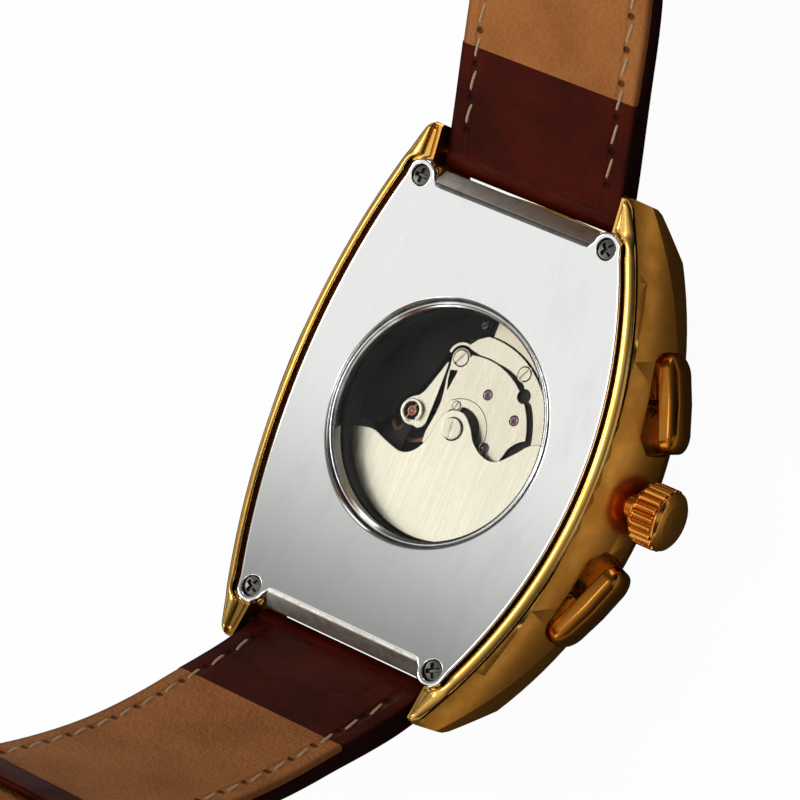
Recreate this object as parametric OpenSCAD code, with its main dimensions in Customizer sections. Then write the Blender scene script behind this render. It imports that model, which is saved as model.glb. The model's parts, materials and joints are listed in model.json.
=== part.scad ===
// Tonneau automatic wristwatch lying on its crystal, case back up.
// X points to the crown, Y to the six o'clock strap, Z out of the case back.
// The origin is under the middle of the case, on the surface that the crystal rests on.

/* [Case] */
// Thickness from the crystal's flat to the middle of the back
case_t = 12; // [11.8:0.1:13]
// Radius of the back's curve along the watch
back_r = 109; // [100:1:130]
// Half width of the case at its widest line
wide_half_w = 20.1; // [19.8:0.1:21]
// Plan radius of the case's sides at the widest line
wide_r = 47; // [45:1:50]
// Depth of the widest line below the back
wide_depth = 7.4; // [7:0.1:7.8]
// Half width of the gold rim at the back
rim_half_w = 17.8; // [17.5:0.1:18.2]
// Depth of the joint between case middle and bezel below the back
mid_depth = 8.2; // [8:0.1:8.6]
// Half length of the case between its lugs
end_half_l = 22.2; // [22:0.1:22.4]
// Length of the lugs beyond the case's ends
lug_l = 3.9; // [3.6:0.1:4.6]
// Free width between two lugs
lug_gap = 20.8; // [20.6:0.1:21.2]
// Half width of the space for the movement
cavity_half_w = 15.2; // [15:0.1:15.4]
// Half length of the space for the movement
cavity_half_l = 18.6; // [18.3:0.1:18.8]
// Plan radius of the inner side arcs
side_r = 55; // [50:1:60]
// Plan radius of the inner end arcs
end_r = 70; // [60:1:90]

/* [Bezel and crystal] */
// Depth of the bezel's front below the back
bezel_depth = 11.6; // [11.4:0.1:11.7]
// Half width of the bezel at its front
bezel_front_half_w = 17.4; // [17:0.1:18]
// Plan radius of the bezel's sides at its front
bezel_front_r = 42; // [40:1:46]
// Half length of the bezel at its front
bezel_front_half_l = 20.8; // [20.4:0.1:21.2]
// Half width of the crystal
crystal_half_w = 14.4; // [14:0.1:14.6]
// Half length of the crystal
crystal_half_l = 17.9; // [17.5:0.1:18.1]
// Thickness of the crystal under its flat
crystal_t = 1.5; // [1.3:0.1:1.6]
// Height that is ground off the crystal's crest to make its flat
crystal_flat_cut = 0.25; // [0.15:0.05:0.35]
// Width of the crystal gasket
crystal_gasket_w = 0.4; // [0.3:0.05:0.5]
// Width of the inner flange round the dial
flange_w = 1.6; // [1.2:0.1:2]

/* [Case back] */
// Half width of the steel back plate
plate_half_w = 16.4; // [16.2:0.1:16.6]
// Half length of the plate between its ears
plate_half_l = 20.6; // [20.4:0.1:20.8]
// Thickness of the back plate
plate_t = 1.2; // [1:0.1:1.3]
// Thickness of the back gasket
back_gasket_t = 0.3; // [0.2:0.05:0.4]
// Distance of a corner screw from the middle, across the watch
screw_x = 10.75; // [10.6:0.05:10.9]
// Distance of a corner screw from the middle, along the watch
screw_y = 20.9; // [20.8:0.05:21]
// Radius of the plate's ear round a corner screw
ear_r = 1.6; // [1.5:0.05:1.7]
// Radius of a corner screw's head
screw_head_r = 1.12; // [1:0.02:1.2]
// Radius of the window ring
window_r = 11.8; // [11.5:0.1:12]
// Radius of the glass in the window ring
window_glass_r = 11.1; // [11:0.1:11.2]
// Thickness of the window glass
window_glass_t = 0.9; // [0.8:0.1:1]

/* [Crown and pushers] */
// Height of the crown's axis over the crystal's flat
crown_z = 6.2; // [6.1:0.1:6.4]
// Distance of the crown's outer face from the watch's middle
crown_reach = 24; // [23.8:0.1:24.6]
// Radius of the crown over its flutes
crown_r = 3.05; // [2.8:0.05:3.1]
// Length of the fluted part of the crown
flute_l = 2.5; // [2:0.1:2.6]
// Number of flutes
flute_count = 20; // [16:1:24]
// Distance that the crown pulls out
crown_travel = 1; // [0.8:0.1:1.2]
// Radius of the winding stem
stem_r = 0.45; // [0.4:0.05:0.5]
// Distance of a pusher from the crown, along the watch
pusher_y = 9.5; // [9.3:0.1:9.8]
// Angle of a pusher to the crown's axis
pusher_angle = 22; // [20:0.5:23]
// Distance that a pusher is set into the case's side
pusher_sink = 0.65; // [0.55:0.05:0.8]
// Length of a pusher's cap along the case
cap_l = 9.2; // [8.8:0.1:9.4]
// Height of a pusher's cap
cap_h = 4; // [3.8:0.1:4.2]
// Thickness of a pusher's cap
cap_t = 1.4; // [1.3:0.1:1.6]
// Distance that a pusher travels
pusher_travel = 0.8; // [0.6:0.1:1]
// Radius of a pusher's stem
pusher_stem_r = 0.5; // [0.45:0.05:0.55]

/* [Movement] */
// Radius of the movement
movement_r = 11; // [10.9:0.1:11.1]
// Room for the hands between crystal and dial
hand_room = 2.4; // [2.3:0.1:2.5]
// Thickness of the dial
dial_t = 0.4; // [0.3:0.05:0.45]
// Room for the hour wheels between dial and main plate
motion_room = 0.4; // [0.4:0.05:0.5]
// Thickness of the main plate
main_plate_t = 0.4; // [0.35:0.05:0.5]
// Height of the top face of the bridges over the main plate
bridge_top = 2.7; // [2.7:0.05:2.9]
// Thickness of the bridges
bridge_t = 0.4; // [0.35:0.05:0.45]
// Radius of the rotor
rotor_r = 10.8; // [10.5:0.1:10.9]
// Gap between the bridges and the rotor's weight
rotor_gap = 0.3; // [0.2:0.05:0.4]
// Thickness of the rotor's weight
rotor_weight_t = 0.8; // [0.7:0.05:0.9]
// Thickness of the rotor's plate
rotor_plate_t = 0.3; // [0.25:0.05:0.4]
// Angle that the rotor hangs round from straight down
rotor_angle = 15; // [0:1:30]
// Radius of the rotor screw's head
rotor_screw_r = 1.05; // [0.9:0.05:1.2]
// Radius of the balance wheel
balance_r = 2.9; // [2.7:0.1:3]
// Turns of the hairspring
hairspring_turns = 4; // [3:1:5]

/* [Strap] */
// Length of the six o'clock strap from its spring bar
six_l = 118; // [110:1:122]
// Length of the twelve o'clock strap from its spring bar
twelve_l = 75; // [72:1:78]
// Width of the strap at the case
strap_w = 20; // [19.5:0.1:20.2]
// Width of the strap at its free end
strap_end_w = 17.6; // [17:0.1:18]
// Thickness of the strap next to its loop
strap_root_t = 2.7; // [2.6:0.1:2.9]
// Thickness of the rest of the strap
strap_t = 2.1; // [1.9:0.1:2.3]
// Thickness of the lining
lining_t = 0.7; // [0.6:0.05:0.8]
// Distance from a spring bar at which the lining begins
lining_start = 11.5; // [10:0.5:13]
// Distance of the spring bars beyond the case's ends
bar_out = 1.8; // [1.7:0.05:1.9]
// Depth of the spring bars below the middle of the back
bar_depth = 0.9; // [0.8:0.1:1]
// Radius of a spring bar
bar_r = 0.75; // [0.7:0.05:0.8]
// Radius of the strap's loop round its spring bar
loop_r = 1.55; // [1.5:0.05:1.6]
// Distance between two holes of the strap
hole_pitch = 6.5; // [6:0.1:7]
// Number of holes
hole_count = 7; // [5:1:8]
// Radius of a hole
hole_r = 0.9; // [0.8:0.05:1]

/* [Buckle and keepers] */
// Width of a keeper along the strap
keeper_w = 4; // [3.5:0.5:5]
// Thickness of a keeper
keeper_t = 1.1; // [0.9:0.1:1.3]
// Room for the other strap in a keeper
keeper_room = 2.6; // [2.4:0.1:3]
// Distance of the loose keeper from the spring bar
free_keeper_s = 45; // [43:0.5:47]
// Distance of the sewn keeper from the buckle's bar
fixed_keeper_end = 10; // [9.5:0.5:12]
// Inner width of the buckle
buckle_w = 18.6; // [18.3:0.1:19]
// Length of the buckle from its bar to its front
buckle_l = 10.5; // [9.5:0.5:12]
// Thickness of the buckle
buckle_t = 2.2; // [1.8:0.1:2.4]
// Width of the buckle's rails
buckle_rail = 1.8; // [1.5:0.1:2]

/* [Hidden] */
$fn = 96;
arc_fn = 360;
fit = 0.05;
seat = 0.08;
soft_gap = 0.2;
big = 80;
GOLD = [0.83, 0.62, 0.25];
STEEL = [0.8, 0.8, 0.79];
MOVEMENT = [0.86, 0.84, 0.76];
BRASS = [0.8, 0.68, 0.4];
BLACK = [0.08, 0.07, 0.06];
LEATHER = [0.26, 0.05, 0.03];
LINING = [0.55, 0.33, 0.2];
RUBY = [0.6, 0.1, 0.3];
GLASS = [0.8, 0.9, 0.95, 0.3];

// Heights over the crystal's flat, from the dial side to the back
dial_z = crystal_t + hand_room;
dial_back = dial_z + dial_t;
plate_z = dial_back + motion_room;
train_z = plate_z + main_plate_t;
bridge_z = train_z + bridge_top;
weight_z = bridge_z + rotor_gap;
rotor_top = weight_z + rotor_weight_t;
rotor_plate_z = rotor_top - rotor_plate_t;
wide_z = case_t - wide_depth;
bar_z = case_t - bar_depth;
bar_y = end_half_l + bar_out;
lug_reach = end_half_l + lug_l;
curve_z = case_t + back_r;
front_r = back_r + case_t;
seat_depth = plate_t + back_gasket_t;
window_z = case_t - window_glass_t - 0.15;

// The going train: radii share the centre distances by tooth counts
THIRD = [2.94, 1.7];
ESCAPE = [-1.16, 3.2];
PALLET = [-2.77, 2.01];
BALANCE = [-5.39, 0.07];
BARREL = [-0.85, -4.83];
MINUTE = [-1.9, 1.45];
arbor_r = 0.12;
pivot_gap = 0.03;
tube_r = 0.2;
cannon_r = 0.45;
hour_tube_r = 0.75;

// Screws and jewels that show through the window
COCK_SCREW = [-2.69, 6.43];
BRIDGE_SCREW = [4.39, 7.4];
SMALL_SCREW = [-1.18, 2.12];
COVER_SCREW = [-1.75, 10.1];
JEWELS = [[1.52, 4.22], [5.18, 2.96], [3.34, -0.54]];

// Strap paths as [length, radius] runs, where radius 0 is straight
six_angle = 26;
SIX_RUNS = [[14, 0], [104, 75]];
twelve_angle = 48;
TWELVE_RUNS = [[36, 74], [26, 0], [13, 52.8]];
strap_step = 3;
tip_l = 9;

// Plan outlines

module both_ends() {
    children();
    mirror([0, 1, 0]) children();
}

module sides(w, r) {
    intersection() {
        translate([w - r, 0]) circle(r, $fn = arc_fn);
        translate([r - w, 0]) circle(r, $fn = arc_fn);
    }
}

module tonneau(w, l) {
    intersection() {
        sides(w, side_r);
        translate([0, l - end_r]) circle(end_r, $fn = arc_fn);
        translate([0, end_r - l]) circle(end_r, $fn = arc_fn);
    }
}

module at_corners() {
    for (sx = [-1, 1], sy = [-1, 1]) translate([sx * screw_x, sy * screw_y]) children();
}

module plate_outline(grow) {
    intersection() {
        sides(plate_half_w + grow, side_r);
        square([big, 2 * (plate_half_l + grow)], center = true);
    }
    at_corners() circle(ear_r + grow);
}

// A layer that follows the curve of the back, from depth a to depth b
module bow(a, b, width = big) {
    rotate([90, 0, 90]) linear_extrude(width, center = true) difference() {
        translate([0, curve_z]) circle(back_r + b, $fn = arc_fn);
        translate([0, curve_z]) circle(back_r + a, $fn = arc_fn);
        translate([-big, curve_z]) square([2 * big, 2 * back_r]);
    }
}

// Flaring sides between two heights, each a big cone
module flared(w1, w2, r, z1, z2) {
    intersection_for (s = [-1, 1])
        translate([s * (r - w1), 0, z1]) cylinder(h = z2 - z1, r1 = r, r2 = r - w1 + w2);
}

module flared_ends(l1, l2, r, z1, z2) {
    intersection_for (s = [-1, 1])
        translate([0, s * (r - l1), z1]) cylinder(h = z2 - z1, r1 = r, r2 = r - l1 + l2);
}

function back_z(y) = curve_z - sqrt(back_r * back_r - y * y);

// Case

lug_low_z = case_t - 6;
lug_tip_z = case_t - 2.5;
flank_r = 65;
flank_slope = (wide_half_w - rim_half_w) / wide_depth;
case_low = 1;
case_high = case_t + 4;

LUG_SIDE = [[end_half_l, 0], [end_half_l + 0.3, lug_low_z], [lug_reach - 0.3, lug_tip_z],
    [lug_reach, lug_tip_z + 0.8], [lug_reach, case_t + 2], [lug_reach - 0.6, case_high]];

module lug_side_profile() rotate([90, 0, 90]) linear_extrude(big, center = true)
    polygon(concat(LUG_SIDE, [for (i = [len(LUG_SIDE) - 1:-1:0]) [-LUG_SIDE[i][0], LUG_SIDE[i][1]]]));

// The pushers follow the watch's curve, so they sit higher than the crown and lean
mid_r = curve_z - crown_z;
pusher_z = curve_z - sqrt(mid_r * mid_r - pusher_y * pusher_y);
pusher_lean = asin(pusher_y / mid_r);
pusher_x = wide_half_w - flank_slope * (crown_z - wide_z) - pusher_sink - wide_r
    + sqrt(wide_r * wide_r - pusher_y * pusher_y);

module pusher_frame(s) translate([pusher_x, s * pusher_y, pusher_z]) rotate([0, 0, s * pusher_angle])
    rotate([s * pusher_lean, 0, 0]) rotate([0, 90, 0]) children();

pusher_tube_r = 1.1;
pusher_tube_l = 3;
crown_tube_r = 1.25;
cap_round = 1.3;
cap_gap = pusher_travel + 0.1;
pocket_in = 0.7;

module case_middle() color(GOLD) {
    difference() {
        intersection() {
            bow(0, mid_depth);
            flared(wide_half_w + flank_slope * (wide_z - case_low), wide_half_w - flank_slope
                * (case_high - wide_z), flank_r, case_low, case_high);
            linear_extrude(case_high) sides(wide_half_w, wide_r);
            lug_side_profile();
        }
        translate([0, 0, -1]) linear_extrude(case_high + 2) tonneau(cavity_half_w, cavity_half_l);
        intersection() {
            bow(-1, seat_depth);
            linear_extrude(case_high) plate_outline(seat);
        }
        for (s = [-1, 1]) {
            translate([-lug_gap / 2, s > 0 ? end_half_l : -end_half_l - big, -1]) cube([lug_gap, big, big]);
            translate([0, s * bar_y, bar_z]) rotate([0, 90, 0])
                cylinder(h = lug_gap + 2 * bar_end_l + 0.2, r = bar_tip_r + fit, center = true);
            pusher_frame(s) {
                translate([0, 0, -6]) cylinder(h = 8, r = pusher_tube_r);
                translate([0, 0, -pocket_in]) linear_extrude(5 + pocket_in)
                    rounded_rect(cap_l + 2 * soft_gap, cap_h + 2 * soft_gap, cap_round + soft_gap);
            }
        }
        both_ends() end_bevel(seat);
        translate([10, 0, crown_z]) rotate([0, 90, 0]) cylinder(h = 14, r = crown_tube_r);
        at_corner_screws() translate([0, 0, -4.5]) cylinder(h = 5, r = screw_r);
    }
}

module bezel() color(GOLD) difference() {
    intersection() {
        bow(mid_depth, bezel_depth);
        flared(bezel_front_half_w, wide_half_w - 0.1, bezel_front_r, 0, wide_z + 1);
        flared_ends(bezel_front_half_l, end_half_l + 0.4, end_r, 0, wide_z + 1);
    }
    translate([0, 0, -1]) linear_extrude(case_t) crystal_seat();
    translate([0, 0, dial_z]) linear_extrude(case_t) tonneau(cavity_half_w, cavity_half_l);
}

module crystal_seat(grow = 0)
    tonneau(crystal_half_w + crystal_gasket_w + grow, crystal_half_l + crystal_gasket_w + grow);

module crystal() color(GLASS) intersection() {
    bow(case_t - crystal_t, case_t + crystal_flat_cut);
    linear_extrude(case_t) tonneau(crystal_half_w, crystal_half_l);
}

module crystal_gasket() color(BLACK) intersection() {
    bow(case_t - crystal_t, bezel_depth - 0.2);
    linear_extrude(case_t) difference() {
        crystal_seat();
        tonneau(crystal_half_w, crystal_half_l);
    }
}

module inner_flange() color(STEEL) difference() {
    intersection() {
        bow(mid_depth - 3, case_t - crystal_t);
        linear_extrude(dial_z) crystal_seat(-fit);
    }
    translate([0, 0, -1]) linear_extrude(case_t)
        tonneau(crystal_half_w - flange_w, crystal_half_l - flange_w);
}

// Dial and hands

sub_r = 3.1;
SUBDIALS = [[-7, 0], [7, 0], [0, 8.6]];
marker_t = 0.2;
marker_w = 0.7;
marker_l = 3;
marker_y = crystal_half_l - flange_w - 2.7;
marker_x = crystal_half_w - flange_w - 1.4;
hour_hand_l = 8;
minute_hand_l = crystal_half_w - flange_w - 0.8;
seconds_hand_l = crystal_half_w - flange_w - 0.2;
seconds_tail = 3.5;
sub_hand_z = dial_z - 0.35;
hand_t = 0.15;
hour_hand_z = dial_z - 0.7;
minute_hand_z = dial_z - 1.1;
seconds_hand_z = dial_z - 1.5;

module dial() color(STEEL) translate([0, 0, dial_z]) linear_extrude(dial_t) difference() {
    tonneau(cavity_half_w - seat, cavity_half_l - seat);
    circle(hour_tube_r + 0.1);
    for (p = SUBDIALS) translate(p) circle(arbor_r + pivot_gap);
}

module hour_markers() color(GOLD) translate([0, 0, dial_z - marker_t]) linear_extrude(marker_t) {
    for (h = [1:11]) if (h % 3 != 0 || h == 6) {
        a = h * 30 - 90;
        rotate(a) translate([h == 6 ? marker_y : marker_x + (marker_y - marker_x) * abs(sin(a)) / 2, 0])
            square([h == 6 ? marker_l - 1 : marker_l, marker_w], center = true);
    }
    for (s = [-marker_w, marker_w]) translate([s, 1 - marker_y])
        square([marker_w, marker_l + 1], center = true);
    for (p = SUBDIALS) translate(p) difference() {
        circle(sub_r);
        circle(sub_r - 0.2);
    }
}

module leaf_hand(tip, tail, w, hub, bore, z) {
    translate([0, 0, z]) linear_extrude(hand_t) difference() {
        union() {
            polygon([[0, -tip], [w, -tip * 0.45], [w * 0.4, 0], [w * 0.4, tail], [-w * 0.4, tail],
                [-w * 0.4, 0], [-w, -tip * 0.45]]);
            circle(hub);
        }
        if (bore > 0) circle(bore);
    }
}

module sub_hand(i) translate(SUBDIALS[i]) {
    leaf_hand(sub_r - 0.5, 0.8, 0.2, 0.35, 0, sub_hand_z);
    translate([0, 0, sub_hand_z]) cylinder(h = dial_back + 0.2 - sub_hand_z, r = arbor_r);
}

module day_hand() color(GOLD) sub_hand(0);

module date_hand() color(GOLD) sub_hand(1);

module day_night_hand() color(GOLD) sub_hand(2);

module hour_hand() color(GOLD) leaf_hand(hour_hand_l, 0, 0.7, 1.1, hour_tube_r, hour_hand_z);

module minute_hand() color(GOLD) leaf_hand(minute_hand_l, 0, 0.6, 0.9, cannon_r, minute_hand_z);

module seconds_hand() color(GOLD)
    leaf_hand(seconds_hand_l, seconds_tail, 0.14, 0.5, arbor_r, seconds_hand_z);

// Case back

screw_r = 0.6;
screw_l = 3.2;
head_t = 0.7;
slot_w = 0.28;

module at_corner_screws() {
    for (sx = [-1, 1], sy = [-1, 1])
        translate([sx * screw_x, sy * screw_y, back_z(screw_y)])
            rotate([sy * asin(screw_y / back_r), 0, 0]) children();
}

bevel_drop = 1.3;
bevel_t = 0.5;

// Sloping strip between two ears of the plate
module end_bevel(grow) {
    top = back_z(plate_half_l);
    low = top - bevel_drop;
    half = screw_x - ear_r;
    translate([-half - grow, 0, 0]) rotate([90, 0, 90]) linear_extrude(2 * (half + grow))
        polygon([[plate_half_l - 0.4, top - plate_t - grow], [plate_half_l - 0.4, top + grow * 20],
            [plate_half_l, top + grow * 20], [end_half_l + grow, low + grow * 20],
            [end_half_l + grow, low - bevel_t - grow]]);
}

module back_plate() color(STEEL) difference() {
    union() {
        intersection() {
            bow(0, plate_t);
            linear_extrude(case_high) plate_outline(0);
        }
        both_ends() end_bevel(0);
    }
    cylinder(h = case_high, r = window_r);
    at_corner_screws() {
        translate([0, 0, -head_t - fit]) cylinder(h = 2, r = screw_head_r + fit);
        translate([0, 0, -4]) cylinder(h = 5, r = screw_r + fit);
    }
}

module window_ring() color(STEEL) difference() {
    translate([0, 0, case_t - plate_t - 0.2]) cylinder(h = plate_t + 0.15, r = window_r);
    translate([0, 0, window_z]) cylinder(h = 2, r = window_glass_r);
    cylinder(h = case_t, r = window_glass_r - 0.4);
}

module window_glass() color(GLASS) translate([0, 0, window_z])
    cylinder(h = window_glass_t, r = window_glass_r);

module back_gasket() color(BLACK) difference() {
    intersection() {
        bow(plate_t, seat_depth);
        linear_extrude(case_high) tonneau(cavity_half_w + 0.5, cavity_half_l + 0.5);
    }
    linear_extrude(case_high) tonneau(cavity_half_w - 0.1, cavity_half_l - 0.1);
}

module back_screws() color(STEEL) at_corner_screws() difference() {
    union() {
        translate([0, 0, -head_t]) cylinder(h = head_t - 0.15, r = screw_head_r);
        translate([0, 0, -screw_l]) cylinder(h = screw_l - head_t, r = screw_r);
    }
    for (a = [0, 90]) rotate(a) translate([0, 0, -0.2])
        cube([2 * screw_head_r * 0.7, slot_w, 0.3], center = true);
}

// Movement

holder_top = case_t - seat_depth - 0.6;

module movement_ring() color(BLACK) difference() {
    translate([0, 0, dial_back]) linear_extrude(holder_top - dial_back) difference() {
        tonneau(cavity_half_w - seat, cavity_half_l - seat);
        circle(movement_r + fit);
    }
    translate([0, 0, crown_z]) rotate([0, 90, 0]) cylinder(h = big, r = crown_tube_r + fit);
    for (s = [-1, 1]) pusher_frame(s)
        translate([0, 0, -pusher_tube_l - 6]) cylinder(h = 9, r = pusher_tube_r + fit);
}

COVER = [[-0.9, 12], [-0.95, 9.5], [-1.8, 9], [-3.55, 7.85], [-4.3, 6.7], [-4.55, 5.2], [-5.7, 1.95],
    [-7.1, 0.8], [-7.1, -1], [-8.3, -2.3], [-12, -2.6], [-12, 12]];

module movement_cover() color(BLACK) translate([0, 0, bridge_z - bridge_t])
    linear_extrude(bridge_t - 0.1) difference() {
        intersection() {
            circle(movement_r - fit);
            polygon(COVER);
        }
        translate(COVER_SCREW) circle(bridge_screw_r);
    }

wall_in = 9.6;
stem_in = 6.7;
lever_x = stem_in + 0.55;
lever_t = 0.25;
stem_block_x = lever_x + lever_t + crown_travel + 0.3;
stem_block_top = crown_z + 0.85;

module main_plate() color(MOVEMENT) {
    difference() {
        union() {
            translate([0, 0, plate_z]) cylinder(h = main_plate_t, r = movement_r);
            translate([0, 0, plate_z]) linear_extrude(bridge_z - plate_z - bridge_t - 0.15) difference() {
                circle(movement_r);
                circle(wall_in);
            }
            translate([stem_block_x, -1.4, plate_z])
                cube([wall_in + 0.4 - stem_block_x, 2.8, stem_block_top - plate_z]);
        }
        translate([0, 0, crown_z]) rotate([0, 90, 0]) cylinder(h = big, r = stem_r + fit);
        translate([wall_in + 0.5, 0, crown_z]) rotate([0, 90, 0]) cylinder(h = big, r = crown_tube_r);
        translate([0, 0, plate_z - 1]) cylinder(h = 3, r = cannon_r + fit);
        for (p = [THIRD, ESCAPE, PALLET, BALANCE, BARREL, MINUTE])
            translate([p[0], p[1], plate_z - 1]) cylinder(h = 3, r = arbor_r + pivot_gap);
        for (p = SUBDIALS) translate([p[0], p[1], plate_z - 1]) cylinder(h = 3, r = arbor_r + pivot_gap);
    }
}

bridge_screw_r = 0.72;
foot_r = 0.9;

module foot(p, top, r = foot_r) translate([p[0], p[1], train_z]) cylinder(h = top - train_z, r = r);

module pivot_hole(p) {
    translate([p[0], p[1], train_z]) cylinder(h = bridge_top + 1, r = arbor_r + pivot_gap);
}

train_top = bridge_top - bridge_t - 0.05;
train_bridge_t = 0.22;
train_bridge_r = wall_in - 0.3;
TRAIN_FEET = [[5.6, -6.4], [1.4, 8.1], [-6.6, -5.6]];
TRAIN_EDGE = [[-2.9, 9], [12, 9], [12, -9.5], [-6, -9.5], [-7.8, -5.6], [-6.4, -4.4], [-2, -3.4], [-2, 1.2],
    [-2.3, 5]];

module train_bridge() color(MOVEMENT) difference() {
    union() {
        translate([0, 0, train_z + train_top - train_bridge_t]) linear_extrude(train_bridge_t) difference() {
            intersection() {
                circle(train_bridge_r);
                polygon(TRAIN_EDGE);
            }
            translate(COCK_SCREW) circle(foot_r + soft_gap);
            translate(BRIDGE_SCREW) circle(foot_r + soft_gap);
        }
        for (p = TRAIN_FEET) foot(p, train_z + train_top, 0.6);
    }
    for (p = [THIRD, ESCAPE, [0, 0]]) pivot_hole(p);
    translate([BARREL[0], BARREL[1], train_z]) cylinder(h = 3, r = barrel_arbor_r + pivot_gap);
}

post_r = 0.6;
cock_boss_r = 1;
TOP_EDGE = [[-3.7, 7.3], [-3.3, 2.3], [-2.8, 1.4], [-2.5, -0.6], [-1.5, -2.2], [6.4, -2.2], [8, 1.5], [8, 8],
    [-2, 8]];

module top_bridge() color(MOVEMENT) difference() {
    union() {
        translate([0, 0, bridge_z - bridge_t]) linear_extrude(bridge_t) union() {
            intersection() {
                circle(7.35);
                polygon(TOP_EDGE);
            }
            translate(COCK_SCREW) circle(cock_boss_r);
        }
        foot(COCK_SCREW, bridge_z - 0.1);
        translate([0, 0, bridge_z]) cylinder(h = rotor_top - bridge_z, r = post_r);
    }
    for (p = JEWELS) translate([p[0], p[1], bridge_z - 0.2]) cylinder(h = 1, r = jewel_r);
    for (p = [COCK_SCREW, SMALL_SCREW]) translate([p[0], p[1], bridge_z - 0.25])
        cylinder(h = 1, r = p == SMALL_SCREW ? small_screw_r : bridge_screw_r);
}

module ring_bridge() color(MOVEMENT) difference() {
    union() {
        translate([0, 0, bridge_z - bridge_t]) linear_extrude(bridge_t - 0.05) intersection() {
            difference() {
                circle(9.35);
                circle(7.6);
            }
            polygon([[0, 0], [12, 1.5], [12, 12], [-0.8, 12], [-0.85, 9.4], [-1.7, 8.85], [-3.4, 7.7]]);
        }
        foot(BRIDGE_SCREW, bridge_z - 0.1);
    }
    translate([COCK_SCREW[0], COCK_SCREW[1], train_z]) cylinder(h = case_t, r = cock_boss_r + 0.1);
    translate([5.1, 5.45, bridge_z - 1]) cylinder(h = 2, r = 0.55);
    translate([BRIDGE_SCREW[0], BRIDGE_SCREW[1], bridge_z - 0.25]) cylinder(h = 1, r = bridge_screw_r);
}

COCK_FOOT = [-7.7, -3.9];

module balance_cock() color(MOVEMENT) difference() {
    union() {
        translate([0, 0, bridge_z - bridge_t]) linear_extrude(bridge_t - 0.05) {
            polygon([[-4.1, 6], [-4.3, 5.2], [-5.45, 1.9], [-6.6, 0.6], [-6, -1.6], [-4.4, -1.4], [-3.5, 0.9],
                [-3.75, 2.2]]);
            translate(BALANCE) circle(1.35);
            polygon([[-6, -2], [-5.9, -1], [-4.9, -1.1], [-5.6, -6.4], [-8, -5], [-8, -3.2]]);
        }
        foot(COCK_FOOT, bridge_z - 0.1);
    }
    translate([BALANCE[0], BALANCE[1], bridge_z - 0.2]) cylinder(h = 1, r = jewel_r);
    pivot_hole(BALANCE);
}

jewel_r = 0.45;
small_screw_r = 0.42;

module jewels() color(RUBY) {
    for (p = JEWELS) translate([p[0], p[1], bridge_z - 0.2]) difference() {
        cylinder(h = 0.18, r = jewel_r);
        translate([0, 0, 0.1]) cylinder(h = 1, r = 0.12);
    }
    translate([BALANCE[0], BALANCE[1], bridge_z - 0.2]) cylinder(h = 0.15, r = jewel_r);
}

module slotted(r, t) {
    difference() {
        cylinder(h = t, r = r);
        translate([0, 0, t]) cube([3 * r, 0.22 * r, t], center = true);
    }
}

module bridge_screws() color(STEEL) {
    for (p = [COCK_SCREW, BRIDGE_SCREW]) translate([p[0], p[1], bridge_z - 0.25])
        rotate(p == COCK_SCREW ? -20 : 70) slotted(bridge_screw_r - 0.02, 0.3);
    translate([SMALL_SCREW[0], SMALL_SCREW[1], bridge_z - 0.25]) rotate(75)
        slotted(small_screw_r - 0.02, 0.3);
    translate([COVER_SCREW[0], COVER_SCREW[1], bridge_z - bridge_t]) slotted(bridge_screw_r - 0.02, bridge_t);
}

// Toothed outline: tips stand 0.45 and roots 1.15 modules from the pitch circle
module teeth(count, pitch_r, turn) {
    m = 2 * pitch_r / count;
    rotate(turn) polygon([for (i = [0:2 * count - 1])
        let (r = i % 2 == 0 ? pitch_r + 0.45 * m : pitch_r - 1.15 * m) [r * cos(i * 180 / count),
            r * sin(i * 180 / count)]]);
}

module crossings(r_out, r_in, spokes) {
    difference() {
        circle(r_out);
        circle(r_in);
        for (i = [0:spokes - 1]) rotate(i * 360 / spokes) translate([0, -0.14]) square([r_out + 1, 0.28]);
    }
}

module toothed_wheel(count, pitch_r, turn, t, hub_r) {
    linear_extrude(t) difference() {
        teeth(count, pitch_r, turn);
        crossings(pitch_r * 0.82, hub_r, 4);
    }
}

module arbor(p, z1, z2, r = arbor_r) {
    translate([p[0], p[1], z1]) cylinder(h = z2 - z1, r = r);
}

function share(distance, a, b) = distance * a / (a + b);

third_d = norm(THIRD);
escape_d = norm(ESCAPE);
barrel_d = norm(BARREL);
minute_d = norm(MINUTE);
third_a = atan2(THIRD[1], THIRD[0]);
escape_a = atan2(ESCAPE[1], ESCAPE[0]);
barrel_a = atan2(BARREL[1], BARREL[0]);
minute_a = atan2(MINUTE[1], MINUTE[0]);
centre_teeth = 64;
third_teeth = 60;
fourth_teeth = 72;
barrel_teeth = 60;
pinion_teeth = 8;
centre_leaves = 10;
wheel_t = 0.15;
barrel_arbor_r = 0.5;
centre_wheel_z = train_z + 1.1;
fourth_wheel_z = train_z + 1.35;
third_wheel_z = train_z + 1.6;
pivot_top = train_z + train_top - 0.05;

module barrel() color(BRASS) translate([BARREL[0], BARREL[1], 0]) {
    translate([0, 0, train_z + 0.1]) linear_extrude(0.2) difference() {
        teeth(barrel_teeth, share(barrel_d, barrel_teeth, centre_leaves),
            barrel_a + 180 + 180 / barrel_teeth);
        circle(barrel_arbor_r + fit);
    }
    translate([0, 0, train_z + 0.3]) linear_extrude(0.7) difference() {
        circle(share(barrel_d, barrel_teeth, centre_leaves) - 0.35);
        circle(barrel_arbor_r + fit);
    }
}

module ratchet_wheel() color(STEEL) {
    arbor(BARREL, train_z, bridge_z - 0.15, barrel_arbor_r);
    translate([BARREL[0], BARREL[1], bridge_z - 0.35]) linear_extrude(0.2) teeth(32, 2.2, 0);
}

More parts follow.
